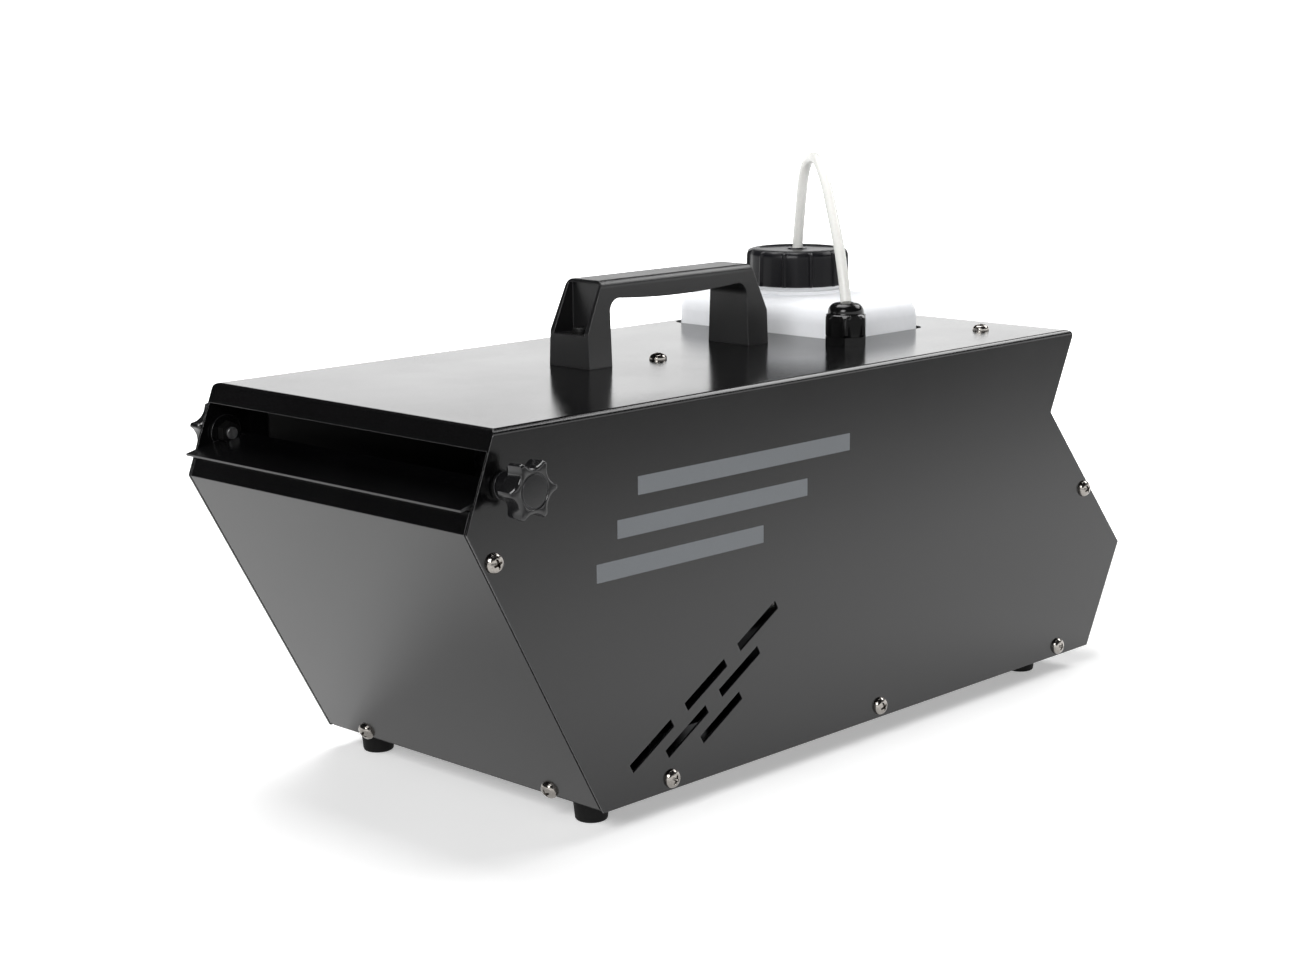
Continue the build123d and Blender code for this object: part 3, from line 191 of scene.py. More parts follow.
def add_side_stripes(material):
    """Three plain printed stripes on the right side panel, slightly matt and speckled."""
    tree = material.node_tree
    shader = tree.nodes["Principled BSDF"]
    coordinates = tree.nodes.new("ShaderNodeTexCoord")
    axes = tree.nodes.new("ShaderNodeSeparateXYZ")
    tree.links.new(coordinates.outputs["Object"], axes.inputs[0])
    panel = SIDE / 1000 - CENTRE_X
    on_side = remap(tree, axes.outputs["X"], panel - 0.0006, panel - 0.0003, 0.0, 1.0)
    mask = None
    for front, rear, low, high in SIDE_STRIPES:
        start, end = place(0, front, low), place(0, rear, high)
        along = between(tree, axes.outputs["Y"], start.y, end.y, STRIPE_SOFTNESS)
        upward = between(tree, axes.outputs["Z"], start.z, end.z, STRIPE_SOFTNESS)
        stripe = math_node(tree, "MULTIPLY", along, upward)
        mask = stripe if mask is None else math_node(tree, "MAXIMUM", mask, stripe)
    mask = math_node(tree, "MULTIPLY", mask, on_side)
    speckle = remap(tree, add_noise(tree, coordinates, 2600.0, 2.0), 0.30, 0.45, 0.86, 1.0)
    mask = math_node(tree, "MULTIPLY", mask, speckle)
    paint = shader.inputs["Base Color"].links[0].from_socket
    tree.links.new(mix_colour(tree, mask, paint, STRIPE_GREY), shader.inputs["Base Color"])
    gloss = shader.inputs["Roughness"].links[0].from_socket
    roughness = tree.nodes.new("ShaderNodeMix")
    tree.links.new(mask, roughness.inputs["Factor"])
    tree.links.new(gloss, roughness.inputs["A"])
    roughness.inputs["B"].default_value = STRIPE_ROUGHNESS
    tree.links.new(roughness.outputs["Result"], shader.inputs["Roughness"])


def make_powder_coat(name):
    """The casing's black powder coat, with lighter edges that show slight wear and a painted highlight along
    its bends.
    """
    return make_finish(name, (0.0012, 0.0012, 0.0014), (0.0025, 0.0025, 0.0027), 0.17, 1300.0, 0.00002,
                       spread=0.03, edge=0.0005, edge_wear_and_highlight=(0.03, 0.03, 0.032))


powder_coat = make_powder_coat("powder_coat")
printed_coat = make_powder_coat("printed_coat")
add_side_stripes(printed_coat)
matt_black = make_finish("matt_black", (0.0015, 0.0015, 0.0015), (0.003, 0.003, 0.003), 0.5, 1300.0, 0.00003,
                         Specular_IOR_Level=0.15)
screw_steel = make_finish("screw_steel", (0.20, 0.185, 0.17), (0.38, 0.36, 0.335), 0.15, 1800.0, 0.00003,
                          spread=0.07, Metallic=1.0)
# Its lighter edge colour stands partly for wear and partly for a painted highlight.
zinc_plate = make_finish("zinc_plate", (0.42, 0.42, 0.43), (0.62, 0.62, 0.63), 0.38, 500.0, 0.00002,
                         spread=0.10, edge=0.0002, edge_wear_and_highlight=(0.75, 0.75, 0.75), Metallic=1.0)
foot_rubber = make_finish("foot_rubber", (0.002, 0.002, 0.002), (0.005, 0.005, 0.005), 0.62, 1100.0, 0.00006,
                          edge=0.0006, Specular_IOR_Level=0.15)
# Its lighter edge colour stands partly for wear and partly for a painted highlight on its rounded edges and
# rims.
handle_plastic = make_finish("handle_plastic", (0.004, 0.004, 0.0045), (0.009, 0.009, 0.0095), 0.32,
                             2400.0, 0.00003, edge=0.0007, edge_wear_and_highlight=(0.030, 0.030, 0.032))
cap_plastic = make_finish("cap_plastic", (0.003, 0.003, 0.004), (0.007, 0.007, 0.009), 0.32, 1600.0, 0.00003,
                          Specular_IOR_Level=0.25)
gloss_nylon = make_finish("gloss_nylon", (0.002, 0.002, 0.0022), (0.005, 0.005, 0.0052), 0.16, 900.0, 0.00002,
                          spread=0.04, Specular_IOR_Level=0.3)
# The knob's lighter edge colour is a painted highlight on the chamfers and rims of its star.
knob_plastic = make_finish("knob_plastic", (0.004, 0.004, 0.0045), (0.009, 0.009, 0.0095), 0.14,
                           1500.0, 0.00003, edge=0.0004, edge_wear_and_highlight=(0.07, 0.07, 0.075))
# The bottle's emission is a painted glow that lifts its shaded faces; the bottle is no lamp.
bottle_plastic = make_finish("bottle_plastic", (0.60, 0.61, 0.63), (0.63, 0.64, 0.66), 0.40, 220.0, 0.00012,
                             Subsurface_Weight=0.4, Subsurface_Scale=0.008, Subsurface_Radius=(1.0, 1.0, 1.0),
                             Specular_IOR_Level=0.25, Emission_Strength=0.24,
                             Emission_Color=(0.97, 0.98, 1.0, 1.0))
tube_plastic = make_finish("tube_plastic", (0.81, 0.81, 0.78), (0.88, 0.88, 0.85), 0.22, 700.0, 0.00004,
                           Transmission_Weight=0.2, IOR=1.42)
clear_hose = make_finish("clear_hose", (0.80, 0.82, 0.82), (0.92, 0.93, 0.93), 0.20, 700.0, 0.00003,
                         Transmission_Weight=0.5, IOR=1.42)
seal_rubber = make_finish("seal_rubber", (0.015, 0.015, 0.015), (0.03, 0.03, 0.03), 0.55, 1200.0, 0.00004)
polished_steel = make_finish("polished_steel", (0.60, 0.60, 0.61), (0.78, 0.78, 0.79), 0.16, 400.0, 0.00002,
                             stretch=(1.0, 12.0, 12.0), Metallic=1.0)
mineral_wool = make_finish("mineral_wool", (0.50, 0.46, 0.33), (0.72, 0.68, 0.52), 0.9, 700.0, 0.0004,
                           stretch=(3.0, 0.6, 3.0))
cast_aluminium = make_finish("cast_aluminium", (0.52, 0.52, 0.53), (0.68, 0.68, 0.69), 0.42, 900.0, 0.00008,
                             edge=0.0004, Metallic=1.0)
brass = make_finish("brass", (0.62, 0.45, 0.18), (0.80, 0.62, 0.30), 0.26, 1200.0, 0.00002,
                    edge=0.0003, Metallic=1.0)
copper = make_finish("copper", (0.55, 0.25, 0.14), (0.76, 0.40, 0.26), 0.3, 1200.0, 0.00003, Metallic=1.0)
circuit_board = make_finish("circuit_board", (0.010, 0.10, 0.035), (0.020, 0.17, 0.06), 0.34, 420.0, 0.00004)
board_parts = make_finish("board_parts", (0.02, 0.02, 0.022), (0.05, 0.05, 0.055), 0.42, 800.0, 0.00003,
                          edge=0.0004)
screen_glass = make_finish("screen_glass", (0.006, 0.012, 0.030), (0.010, 0.020, 0.045), 0.06, 60.0, 0.000005,
                           spread=0.02, edge=0.0003, Coat_Weight=1.0)
ivory_plastic = make_finish("ivory_plastic", (0.70, 0.69, 0.66), (0.80, 0.79, 0.76), 0.38, 1200.0, 0.00003,
                            edge=0.0003)
red_plastic = make_finish("red_plastic", (0.36, 0.012, 0.010), (0.50, 0.020, 0.016), 0.22, 900.0, 0.00002,
                          edge=0.0004, Transmission_Weight=0.1)
# Its lighter edge colour stands partly for wear and partly for a painted highlight.
socket_plastic = make_finish("socket_plastic", (0.012, 0.012, 0.013), (0.022, 0.022, 0.023), 0.32,
                             1500.0, 0.00004, edge=0.0004, edge_wear_and_highlight=(0.04, 0.04, 0.04))

# The pieces that keep the CAD's own shape, under the finish that each is given.
LOOKS = {
    printed_coat: ["cover"],
    powder_coat: ["front_panel", "base_plate", "rear_panel", "outlet_flap"],
    # The outlet duct is given this matt black to stand in for the shade inside the outlet.
    matt_black: ["outlet_duct", "flap_nuts", "handle_bolts"],
    screw_steel: ["small_screws"],
    zinc_plate: ["foot_screws", "knob_right_stud", "knob_left_stud", "bottle_well", "heater_saddles",
                 "pump_frame"],
    foot_rubber: ["feet"],
    handle_plastic: ["handle"],
    knob_plastic: ["knob_washers"],
    gloss_nylon: ["gland_body", "gland_locknut"],
    tube_plastic: ["tube_ends"],
    clear_hose: ["suction_hose", "pressure_hose"],
    seal_rubber: ["gland_seal"],
    polished_steel: ["heater_shell", "heater_elements", "pump_piston"],
    mineral_wool: ["heater_insulation"],
    cast_aluminium: ["heater_core"],
    brass: ["nozzle", "mains_pins", "board_standoffs"],
    copper: ["vapour_pipe", "pump_coil"],
    circuit_board: ["power_board", "control_board"],
    board_parts: ["power_board_parts", "control_board_parts", "thermostat", "fan_frame", "fan_rotor"],
    screen_glass: ["display_window"],
    ivory_plastic: ["pump_body", "cap_liner", "button_1", "button_2", "button_3", "button_4"],
    red_plastic: ["rocker"],
    socket_plastic: ["signal_sockets", "mains_inlet", "fuse_drawer", "rocker_frame"],
}
for material, names in LOOKS.items():
    for name in names:
        slots = NODES[name].data.materials
        slots.clear()
        slots.append(material)


# ---- mesh helpers ----------------------------------------------------------------------
def mesh_object(name, mesh_data, material, body, smooth_angle):
    """Finishes a bmesh as a shown piece that rides on a body and takes the finish it is given."""
    mesh = bpy.data.meshes.new(name)
    bmesh.ops.recalc_face_normals(mesh_data, faces=mesh_data.faces)
    mesh_data.to_mesh(mesh)
    mesh_data.free()
    mesh.materials.append(material)
    piece = bpy.data.objects.new(name, mesh)
    bpy.context.scene.collection.objects.link(piece)
    mesh.shade_smooth()
    mesh.set_sharp_from_angle(angle=math.radians(smooth_angle))
    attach(piece, body)
    return piece


def loft(mesh_data, rings, close_start=True, close_end=True):
    """Joins rings of points, each a list of vectors of the same length, into a skin."""
    rows = [[mesh_data.verts.new(point) for point in ring] for ring in rings]
    count = len(rows[0])
    for lower, upper in zip(rows, rows[1:]):
        for index in range(count):
            following = (index + 1) % count
            mesh_data.faces.new((lower[index], lower[following], upper[following], upper[index]))
    if close_start:
        mesh_data.faces.new(list(reversed(rows[0])))
    if close_end:
        mesh_data.faces.new(rows[-1])


def turned(profile, shape, count, matrix):
    """Rings for a body turned about Z: profile is (radius, height) pairs, and shape(angle,
    radius) may push the radius in or out."""
    rings = []
    for radius, height in profile:
        ring = []
        for index in range(count):
            angle = 2 * math.pi * index / count
            reach = shape(angle, radius)
            ring.append(matrix @ Vector((reach * math.cos(angle), reach * math.sin(angle), height)))
        rings.append(ring)
    return rings


def arc_points(centre, radius, start, end, steps):
    """Points on an arc of a profile, with its angles in degrees."""
    points = []
    for step in range(steps + 1):
        turn = math.radians(start + (end - start) * step / steps)
        points.append((centre[0] + radius * math.cos(turn), centre[1] + radius * math.sin(turn)))
    return points


def frame_at(origin, direction):
    """A matrix whose Z runs along a direction, with its Y as near to upright as it can be."""
    z = Vector(direction).normalized()
    guide = Vector((0, 0, 1)) if abs(z.z) < 0.9 else Vector((0, 1, 0))
    x = guide.cross(z).normalized()
    y = z.cross(x)
    matrix = Matrix((x, y, z)).transposed().to_4x4()
    matrix.translation = origin
    return matrix


# ---- screws ----------------------------------------------------------------------------
# The head's radius, height, straight skirt, crown and the extra drop of its rim, in metres.
SCREW_HEAD = 0.00475
SCREW_HEIGHT = 0.0034
SCREW_SKIRT = 0.0010
SCREW_CROWN = 0.0016
SCREW_RIM_DROP = 0.0008

# The shares of the radius at which the rim starts to drop and at which the skirt takes over.
SCREW_RIM_START = 0.74
SCREW_TOP_END = 0.985

# The cross recess: how far its wings reach, half their width, how much of that they lose
# towards their ends, their depth, and the length over which they rise at their ends.
CROSS_REACH = 0.0026
CROSS_HALF_WING = 0.00062
CROSS_TAPER = 0.35
CROSS_DEPTH = 0.0019
CROSS_SLOPE = 0.0011

# In millimetres: (y, z) on both sides, (x, y) on the top, and (x, y, z) on the front slope.
SIDE_SCREWS = [(-2.0, 146.0), (112.0, 17.8), (276.0, 18.4), (445.4, 17.6), (468.5, 109.6)]
TOP_SCREWS = [(6.0, 207.5), (64.5, 418.0)]
SLOPE_SCREWS = [(-70.0, 62.58, 16.37), (70.0, 62.58, 16.37)]
SLOPE_OUTWARD = (0, -149.0, -82.5)


def cross_depth(x, y):
    """How deep the cross recess is at a point of the head: four tapered wings."""
    wing = min(abs(x), abs(y))
    reach = max(abs(x), abs(y))
    half_wing = CROSS_HALF_WING * (1.0 - CROSS_TAPER * reach / CROSS_REACH)
    if reach > CROSS_REACH or wing > half_wing:
        return 0.0
    return CROSS_DEPTH * min(1.0, (CROSS_REACH - reach) / CROSS_SLOPE)


def screw_mesh(mesh_data, matrix):
    """A pan head with a cross recess, as a fine grid over the top and a round skirt."""
    count = 48
    steps = 26
    rows = []
    for step in range(1, steps + 1):
        radius = SCREW_HEAD * SCREW_TOP_END * step / steps
        crown = SCREW_HEIGHT - SCREW_CROWN * (radius / SCREW_HEAD) ** 2
        rim = max(0.0, (radius / SCREW_HEAD - SCREW_RIM_START) / (1.0 - SCREW_RIM_START))
        crown -= SCREW_RIM_DROP * rim ** 2
        row = []
        for index in range(count):
            angle = 2 * math.pi * index / count
            x, y = radius * math.cos(angle), radius * math.sin(angle)
            row.append(mesh_data.verts.new(matrix @ Vector((x, y, crown - cross_depth(x, y)))))
        rows.append(row)
    for height in (SCREW_SKIRT, 0.0):
        row = []
        for index in range(count):
            angle = 2 * math.pi * index / count
            x, y = SCREW_HEAD * math.cos(angle), SCREW_HEAD * math.sin(angle)
            row.append(mesh_data.verts.new(matrix @ Vector((x, y, height))))
        rows.append(row)
    tip = mesh_data.verts.new(matrix @ Vector((0, 0, SCREW_HEIGHT - CROSS_DEPTH)))
    for index in range(count):
        following = (index + 1) % count
        mesh_data.faces.new((tip, rows[0][index], rows[0][following]))
        for inner, outer in zip(rows, rows[1:]):
            mesh_data.faces.new((inner[index], outer[index], outer[following], inner[following]))


def add_casing_screws():
    """The casing's screw heads in one mesh, with their crosses turned to different angles."""
    mesh_data = bmesh.new()
    places = []
    for side in (-1, 1):
        for number, (y, z) in enumerate(SIDE_SCREWS):
            places.append((place(side * SIDE, y, z), (side, 0, 0), 20 + 47 * number))
    for number, (x, y) in enumerate(TOP_SCREWS):
        places.append((place(x, y, TOP), (0, 0, 1), 15 + 60 * number))
    for number, (x, y, z) in enumerate(SLOPE_SCREWS):
        places.append((place(x, y, z), SLOPE_OUTWARD, -35 + 140 * number))
    for origin, direction, turn in places:
        screw_mesh(mesh_data, frame_at(origin, direction) @ Matrix.Rotation(math.radians(turn), 4, "Z"))
    screws = mesh_object("casing_screw_heads", mesh_data, screw_steel, "casing_unit",
                         smooth_angle=50.0)
    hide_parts("casing_screws")


# ---- knobs -----------------------------------------------------------------------------
# The lobes' reach, the radius of the hollows, how far out their centres lie and how softly
# hollow and lobe meet, in metres.
KNOB_RADIUS = 0.0143
SCALLOP = 0.0085
SCALLOP_CENTRE = 0.0188
SCALLOP_SOFTNESS = 0.0004

# The radii where the star starts and where it is full.
KNOB_FADE = (0.0086, 0.0125)


def star(angle, radius):
    """Six rounded lobes with round hollows between them, fading out towards the hub."""
    if radius < KNOB_FADE[0]:
        return radius
    turn = math.radians(math.degrees(angle) % 60.0 - 30.0)
    reach = KNOB_RADIUS
    across = SCALLOP_CENTRE * math.sin(turn)
    if abs(across) < SCALLOP:
        hollow = SCALLOP_CENTRE * math.cos(turn) - math.sqrt(SCALLOP ** 2 - across ** 2)
        weights = math.exp(-hollow / SCALLOP_SOFTNESS) + math.exp(-KNOB_RADIUS / SCALLOP_SOFTNESS)
        reach = -SCALLOP_SOFTNESS * math.log(weights)
    fade = min(1.0, (radius - KNOB_FADE[0]) / (KNOB_FADE[1] - KNOB_FADE[0]))
    return radius * (1.0 - fade * (1.0 - reach / KNOB_RADIUS))


def add_knob(side, body, node, turn, thick):
    """A star knob of a given thickness, with a hub behind it where it stands off the panel.

    The profile goes from the back, out over the rim and in over the face with its ring.
    """
    low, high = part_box(node)
    centre = (low + high) / 2
    panel = place(side * SIDE, 0, 0).x
    face = side * ((high.x if side > 0 else low.x) - panel)
    back = face - thick
    spin = Matrix.Rotation(math.radians(turn), 4, "Z")
    matrix = frame_at(Vector((panel, centre.y, centre.z)), (side, 0, 0)) @ spin
    profile = [(0.0034, back)]
    stands_off = back > 0.004
    if stands_off:
        profile = [(0.0034, 0.0016), (0.0056, 0.0016)]
        profile += arc_points((0.0056, 0.0030), 0.0014, -90, 0, 5)
        profile += [(0.0070, back - 0.0010)]
    profile += [(0.0074, back), (0.0104, back)]
    profile += arc_points((0.0110, back + 0.0030), 0.0030, -90, -10, 7)
    profile += arc_points((0.0129, face - 0.0016), 0.0014, 0, 90, 7)
    profile += [(0.0118, face - 0.0001), (0.0086, face)]
    profile += [(0.0084, face - 0.0001), (0.0082, face - 0.0006)]
    profile += [(0.0075, face - 0.0006), (0.0073, face - 0.0001)]
    profile += [(0.0040, face), (0.0012, face)]
    mesh_data = bmesh.new()
    loft(mesh_data, turned(profile, star, 180, matrix))
    knob = mesh_object(node + "_star", mesh_data, knob_plastic, body, smooth_angle=42.0)
    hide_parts(node)


# ---- bottle and cap --------------------------------------------------------------------
# The bottle's corner radius in metres, and the points round each corner of its rings.
BOTTLE_CORNER = 0.0105
CORNER_POINTS = 24

# In metres, the shoulder's height above the casing's top, how far its rounding comes in and
# goes down, and how far below the shoulder the rounding ends.
SHOULDER_RISE = 0.020
SHOULDER_IN = 0.0095
SHOULDER_DOWN = 0.0105
SHOULDER_END = 0.0016


def rounded_ring(half_x, half_y, corner, height):
    """Points round a rectangle with round corners, spread evenly by angle per corner."""
    points = []
    for corner_index in range(4):
        sign_x = 1 if corner_index in (0, 3) else -1
        sign_y = 1 if corner_index in (0, 1) else -1
        for step in range(CORNER_POINTS):
            turn = math.radians(90 * corner_index + 90 * step / (CORNER_POINTS - 1))
            points.append(Vector((sign_x * (half_x - corner) + corner * math.cos(turn),
                                  sign_y * (half_y - corner) + corner * math.sin(turn), height)))
    return points


def bottle_ring(half_x, half_y, corner, height, roundness):
    """A rounded rectangle that turns into a circle of the same width as roundness goes to 1."""
    ring = []
    for point in rounded_ring(half_x, half_y, corner, height):
        angle = math.atan2(point.y, point.x)
        circle = Vector((half_y * math.cos(angle), half_y * math.sin(angle), height))
        ring.append(point.lerp(circle, roundness))
    return ring


def add_bottle():
    """A blow-moulded body with round corners, a round shoulder and a wide open neck."""
    low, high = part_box("bottle")
    centre = (low + high) / 2
    half_x, half_y = (high.x - low.x) / 2, (high.y - low.y) / 2
    base = low.z
    shoulder = TOP / 1000 + SHOULDER_RISE
    neck_top = high.z
    rings = []
    for inset, rise in ((0.012, 0.0), (0.006, 0.0002), (0.0035, 0.0012), (0.0012, 0.0035), (0.0, 0.008)):
        corner = max(BOTTLE_CORNER - inset * 0.3, 0.005)
        rings.append(rounded_ring(half_x - inset, half_y - inset, corner, base + rise))
    for height in (0.06, 0.12, 0.17, shoulder - 0.012):
        rings.append(rounded_ring(half_x, half_y, BOTTLE_CORNER, height))
    for turn in range(0, 91, 10):
        inset = SHOULDER_IN * (1 - math.cos(math.radians(turn)))
        height = shoulder - SHOULDER_END - SHOULDER_DOWN * (1 - math.sin(math.radians(turn)))
        corner = max(BOTTLE_CORNER - inset * 0.5, 0.004)
        rings.append(rounded_ring(half_x - inset, half_y - inset, corner, height))
    rings.append(bottle_ring(half_x - 0.016, half_y - 0.0098, 0.006, shoulder - 0.0010, 0.0))
    rings.append(bottle_ring(0.040, 0.0285, 0.010, shoulder - 0.0002, 0.6))
    neck = [(0.0282, shoulder + 0.0005), (0.0281, shoulder + 0.0022), (0.0250, shoulder + 0.0026),
            (0.0250, neck_top), (0.0228, neck_top), (0.0228, shoulder - 0.004)]
    for radius, height in neck:
        rings.append(bottle_ring(radius, radius, radius - 0.0001, height, 1.0))
    for ring in rings:
        for point in ring:
            point.x += centre.x
            point.y += centre.y
    mesh_data = bmesh.new()
    loft(mesh_data, rings, close_end=False)
    bmesh.ops.remove_doubles(mesh_data, verts=mesh_data.verts, dist=0.00002)
    bottle = mesh_object("bottle_body", mesh_data, bottle_plastic, "bottle_unit",
                         smooth_angle=60.0)
    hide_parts("bottle")


# The radius of the cap's wall and the radius within which the cap is plain, in metres.
CAP_WALL = 0.0303
CAP_PLAIN = 0.0285

# The ridges' half width and turn in degrees, their height in metres, and how far the wall
# sinks beside a ridge. Half way between two ridges it has its full radius.
RIDGE_HALF_WIDTH = 2.1
RIDGE_TURN = 19.7
RIDGE_HEIGHT = 0.0009
WALL_WAVE = 0.00035


def ridged(angle, radius):
    """Twelve narrow ridges that stand proud of the cap's wall."""
    if radius < CAP_PLAIN:
        return radius
    swing = abs((math.degrees(angle) + RIDGE_TURN) % 30.0 - 15.0)
    ridge = max(0.0, 1.0 - (swing / RIDGE_HALF_WIDTH) ** 4)
    wave = WALL_WAVE * math.cos(math.radians(swing * 6.0))
    return radius + RIDGE_HEIGHT * ridge - wave * (1.0 - ridge)


def add_cap():
    """The bottle's cap: a ridged wall, a round edge, a sunk top and a raised ring round the tube."""
    low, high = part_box("bottle_cap")
    centre = (low + high) / 2
    height = high.z - low.z
    matrix = Matrix.Translation(Vector((centre.x, centre.y, low.z)))
    profile = [(0.0254, 0.012), (0.0254, 0.0), (CAP_WALL - 0.0006, 0.0), (CAP_WALL, 0.0006)]
    profile += [(CAP_WALL, 0.0030), (CAP_WALL - 0.0004, height - 0.0052)]
    profile += arc_points((CAP_WALL - 0.0042, height - 0.0040), 0.0038, 0, 80, 7)
    profile += [(0.0240, height), (0.0228, height - 0.0001), (0.0222, height - 0.0006)]
    profile += [(0.0100, height - 0.0006), (0.0060, height - 0.0006), (0.0055, height), (0.0035, height)]
    profile += [(0.0033, height - 0.0003), (0.00327, height - 0.003)]
    mesh_data = bmesh.new()
    loft(mesh_data, turned(profile, ridged, 360, matrix), close_start=False, close_end=False)
    cap = mesh_object("bottle_cap_ridged", mesh_data, cap_plastic, "cap_unit",
                      smooth_angle=40.0)
    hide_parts("bottle_cap")


# ---- gland -----------------------------------------------------------------------------
# Half the nut's width across its flats, in metres, and its turn in degrees.
NUT_HALF_FLATS = 0.011
NUT_TURN = 7.2


def hexagon(angle, radius):
    """The turned radius, cut back to the nut's flats where it would stand past them."""
    off_flat = math.degrees(angle) % 60.0 - 30.0
    return min(radius, NUT_HALF_FLATS / math.cos(math.radians(off_flat)))


def add_gland_nut():
    """The gland's nut: a hexagon below, a round dome above, and the bore for the tube."""
    low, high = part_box("gland_nut")
    centre = (low + high) / 2
    height = high.z - low.z
    turn = Matrix.Rotation(math.radians(NUT_TURN), 4, "Z")
    matrix = Matrix.Translation(Vector((centre.x, centre.y, low.z))) @ turn
    profile = [(0.0072, 0.0), (0.0112, 0.0), (0.0127, 0.0011), (0.0127, 0.0094)]
    profile += [(0.0122, 0.0106), (0.0112, 0.0116), (0.0104, 0.0120), (0.0101, 0.0124)]
    profile += arc_points((0.0048, height - 0.0053), 0.0052, 0, 78, 12)
    profile += [(0.0050, height - 0.0001), (0.0042, height), (0.0036, height - 0.0003)]
    profile += [(0.0034, height - 0.001), (0.0034, height - 0.004)]
    mesh_data = bmesh.new()
    loft(mesh_data, turned(profile, hexagon, 240, matrix), close_start=False, close_end=False)
    nut = mesh_object("gland_nut_hex", mesh_data, gloss_nylon, "casing_unit",
                      smooth_angle=28.0)
    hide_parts("gland_nut")


# ---- tube ------------------------------------------------------------------------------
# The middles of the gland and the cap at the height of the casing's top.
GLAND = place(44.0, 319.0, TOP)
CAP = place(-33.0, 368.0, TOP)
TUBE_DIAMETER = 0.006

# The tube's route as (run from the gland towards the cap, height above the casing's top),
# and the run at which it reaches the cap.
TUBE_SPAN = 0.089
TUBE_ROUTE = [
    (0.0, 0.0232), (0.0075, 0.0450), (0.0231, 0.0682), (0.0388, 0.0901),
    (0.0563, 0.1020), (0.0758, 0.0954), (0.0836, 0.0700), (0.0890, 0.0457),
]


def add_tube():
    """The clear tube between the gland and the cap, one smooth spline with a round section."""
    reach = CAP - GLAND
    points = [GLAND + reach * (run / TUBE_SPAN) + Vector((0, 0, rise)) for run, rise in TUBE_ROUTE]
    curve = bpy.data.curves.new("fluid_tube_arch", "CURVE")
    curve.dimensions = "3D"
    curve.resolution_u = 24
    curve.bevel_depth = TUBE_DIAMETER / 2
    curve.bevel_resolution = 8
    curve.use_fill_caps = True
    spline = curve.splines.new("NURBS")
    spline.points.add(len(points) - 1)
    for control, point in zip(spline.points, points):
        control.co = (*point, 1.0)
    spline.order_u = 3
    spline.use_endpoint_u = True
    curve.materials.append(tube_plastic)
    tube = bpy.data.objects.new("fluid_tube_arch", curve)
    bpy.context.scene.collection.objects.link(tube)
    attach(tube, "bottle_unit")
    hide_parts("fluid_tube")


# ---- camera, floor and light -----------------------------------------------------------
# The camera stands to the front right of the machine and looks back and down at it. Its
# place is in metres, its angles in degrees and its lens in millimetres.
CAMERA_PLACE = (0.83205, -0.9042, 0.3763)
CAMERA_AZIMUTH = 44.02
CAMERA_PITCH = 11.31
CAMERA_ROLL = -0.44
CAMERA_LENS = 62.84

# The floor's glow rises along the direction BACKDROP, from FLOOR_GLOW at FLOOR_NEAR metres to
# BAND_GLOW at FLOOR_FAR. Beside the machine the glow falls off and the floor's colour darkens
# towards a painted shade grey, between the first two values of FALL_BESIDE, in metres, from
# the third value to the fourth.
FLOOR_RADIUS = 14.0
FLOOR_GLOW = 0.36
FLOOR_NEAR = 0.3
FLOOR_FAR = 1.7
BACKDROP = (-0.69, 0.72)
FALL_BESIDE = (0.40, 0.95, 1.0, 0.35)
FLOOR_PAINTED_SHADE = (0.02, 0.02, 0.02)

# The surround glows as a band up to BAND_TOP and is dim above BAND_FADE, both the upward part
# of a direction. The band is lower by BAND_DROP towards DARK_SIDE, in part from the first
# value of DARK_EDGE and fully from the second.
BAND_GLOW = 1.7
ROOM_GLOW = 0.03
BAND_TOP = 0.232
BAND_FADE = 0.268
BAND_DROP = 0.17
DARK_SIDE = (-0.72, -0.69)
DARK_EDGE = (0.45, 0.8)

# Each soft box as (name, place, width and height in metres, watts).
SOFT_BOXES = [
    ("top_box", (-0.5, 0.1, 2.0), (1.4, 1.2), 34.0),
    ("back_box", (0.3, 1.7, 1.6), (1.6, 0.8), 22.0),
    ("front_box", (0.7, -1.8, 1.3), (0.9, 0.9), 30.0),
]


def add_camera():
    """The camera, aimed by its azimuth, pitch and roll."""
    azimuth = math.radians(CAMERA_AZIMUTH)
    pitch = math.radians(CAMERA_PITCH)
    roll = math.radians(CAMERA_ROLL)
    level = math.cos(pitch)
    back = Vector((math.sin(azimuth) * level, -math.cos(azimuth) * level, math.sin(pitch)))
    right = Vector((math.cos(azimuth), math.sin(azimuth), 0.0))
    up = back.cross(right)
    rolled_right = right * math.cos(roll) + up * math.sin(roll)
    rolled_up = up * math.cos(roll) - right * math.sin(roll)
    matrix = Matrix((rolled_right, rolled_up, back)).transposed().to_4x4()
    matrix.translation = Vector(CAMERA_PLACE)
    data = bpy.data.cameras.new("camera")
    data.lens = CAMERA_LENS
    data.sensor_width = 36.0
    camera = bpy.data.objects.new("camera", data)
    camera.matrix_world = matrix
    bpy.context.scene.collection.objects.link(camera)
    bpy.context.scene.camera = camera


def add_area_light(name, position, size, power):
    """A rectangular soft box that faces the middle of the floor."""
    data = bpy.data.lights.new(name, "AREA")
    data.shape = "RECTANGLE"
    data.size, data.size_y = size
    data.energy = power
    light = bpy.data.objects.new(name, data)
    light.matrix_world = frame_at(Vector(position), Vector(position))
    bpy.context.scene.collection.objects.link(light)


def distance_along(tree, axes, direction):
    """How far a shaded point or a direction reaches along a level direction."""
    parts = [math_node(tree, "MULTIPLY", axes.outputs[axis], share) for axis, share in zip("XY", direction)]
    return math_node(tree, "ADD", *parts)


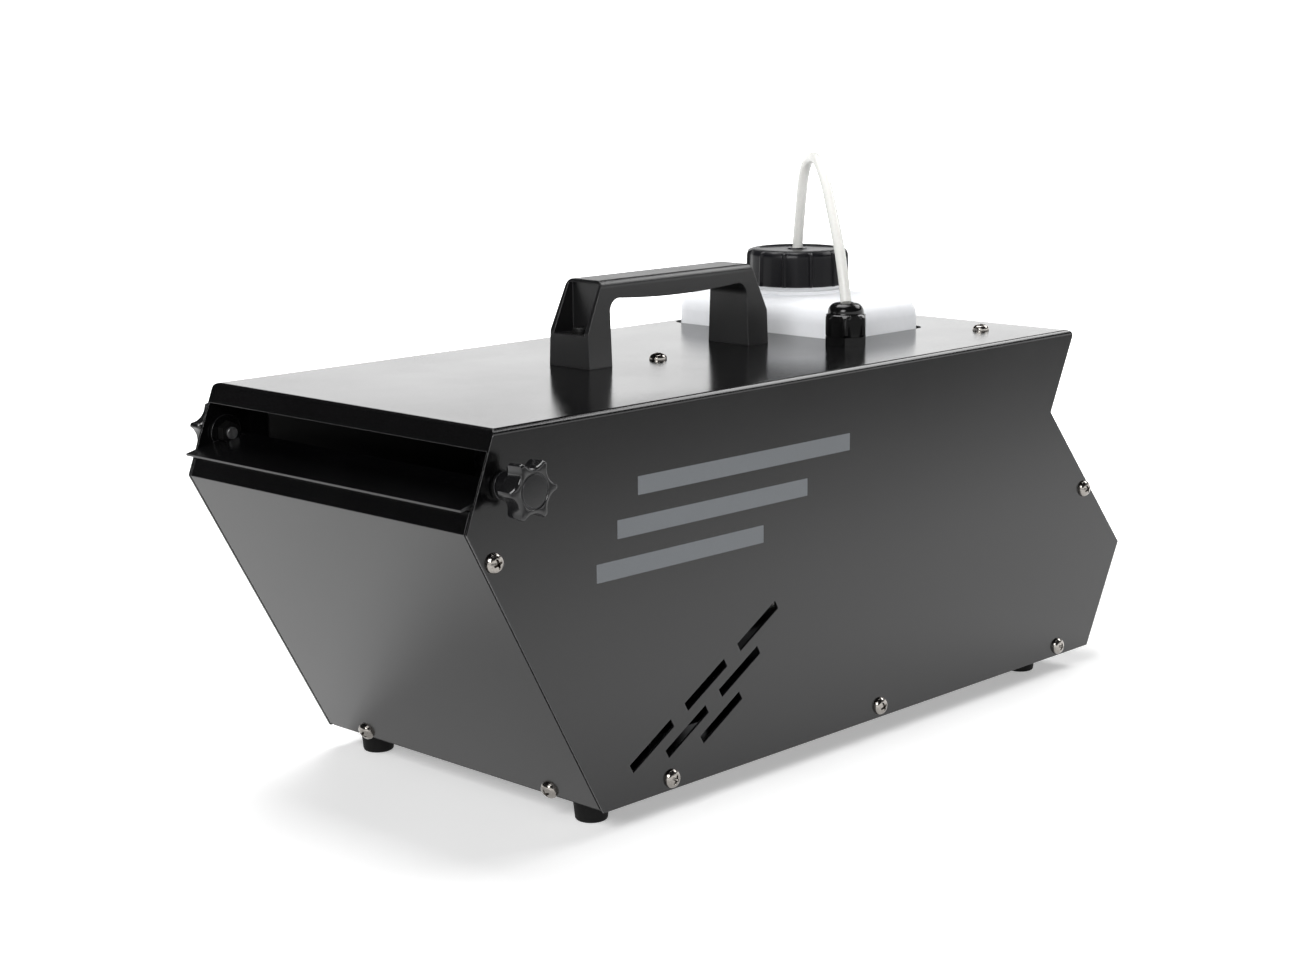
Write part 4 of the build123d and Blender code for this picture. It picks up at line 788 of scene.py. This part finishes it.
def add_floor():
    """A white floor that glows behind the machine, whose glow falls off and which is greyed by painted shade
    on its right.
    """
    mesh_data = bmesh.new()
    bmesh.ops.create_circle(mesh_data, cap_ends=True, radius=FLOOR_RADIUS, segments=96)
    mesh = bpy.data.meshes.new("floor")
    mesh_data.to_mesh(mesh)
    mesh_data.free()
    floor = bpy.data.objects.new("floor", mesh)
    bpy.context.scene.collection.objects.link(floor)
    paper = make_finish("floor_paper", (0.86, 0.86, 0.86), (0.89, 0.89, 0.89), 0.9, 300.0, 0.00002,
                        Emission_Color=(1.0, 1.0, 1.0, 1.0))
    tree = paper.node_tree
    coordinates = tree.nodes.new("ShaderNodeTexCoord")
    axes = tree.nodes.new("ShaderNodeSeparateXYZ")
    tree.links.new(coordinates.outputs["Object"], axes.inputs[0])
    behind = distance_along(tree, axes, BACKDROP)
    glow = remap(tree, behind, FLOOR_NEAR, FLOOR_FAR, FLOOR_GLOW, BAND_GLOW)
    light_share = remap(tree, axes.outputs["X"], *FALL_BESIDE)
    shader = tree.nodes["Principled BSDF"]
    tree.links.new(math_node(tree, "MULTIPLY", glow, light_share), shader.inputs["Emission Strength"])
    white = shader.inputs["Base Color"].links[0].from_socket
    # Towards the right the floor's colour goes to a dark grey, which is painted shade.
    tree.links.new(mix_colour(tree, light_share, FLOOR_PAINTED_SHADE, white), shader.inputs["Base Color"])
    mesh.materials.append(paper)


def add_surround():
    """A white band round the horizon that turns dark overhead, and lower on the dark side."""
    world = bpy.data.worlds.new("studio")
    world.use_nodes = True
    tree = world.node_tree
    background = tree.nodes["Background"]
    background.inputs["Color"].default_value = (1.0, 1.0, 1.0, 1.0)
    coordinates = tree.nodes.new("ShaderNodeTexCoord")
    axes = tree.nodes.new("ShaderNodeSeparateXYZ")
    tree.links.new(coordinates.outputs["Generated"], axes.inputs[0])
    toward = distance_along(tree, axes, DARK_SIDE)
    lowered = remap(tree, toward, *DARK_EDGE, 0.0, BAND_DROP)
    height = math_node(tree, "ADD", axes.outputs["Z"], lowered)
    strength = remap(tree, height, BAND_TOP, BAND_FADE, BAND_GLOW, ROOM_GLOW)
    tree.links.new(strength, background.inputs["Strength"])
    bpy.context.scene.world = world


add_camera()
add_tube()
add_casing_screws()
add_knob(1, "right_knob", "knob_right", turn=0.0, thick=0.011)
add_knob(-1, "left_knob", "knob_left", turn=17.0, thick=0.008)
add_bottle()
add_cap()
add_gland_nut()
add_floor()
add_surround()
for soft_box in SOFT_BOXES:
    add_area_light(*soft_box)
bpy.context.scene.view_settings.view_transform = "Standard"
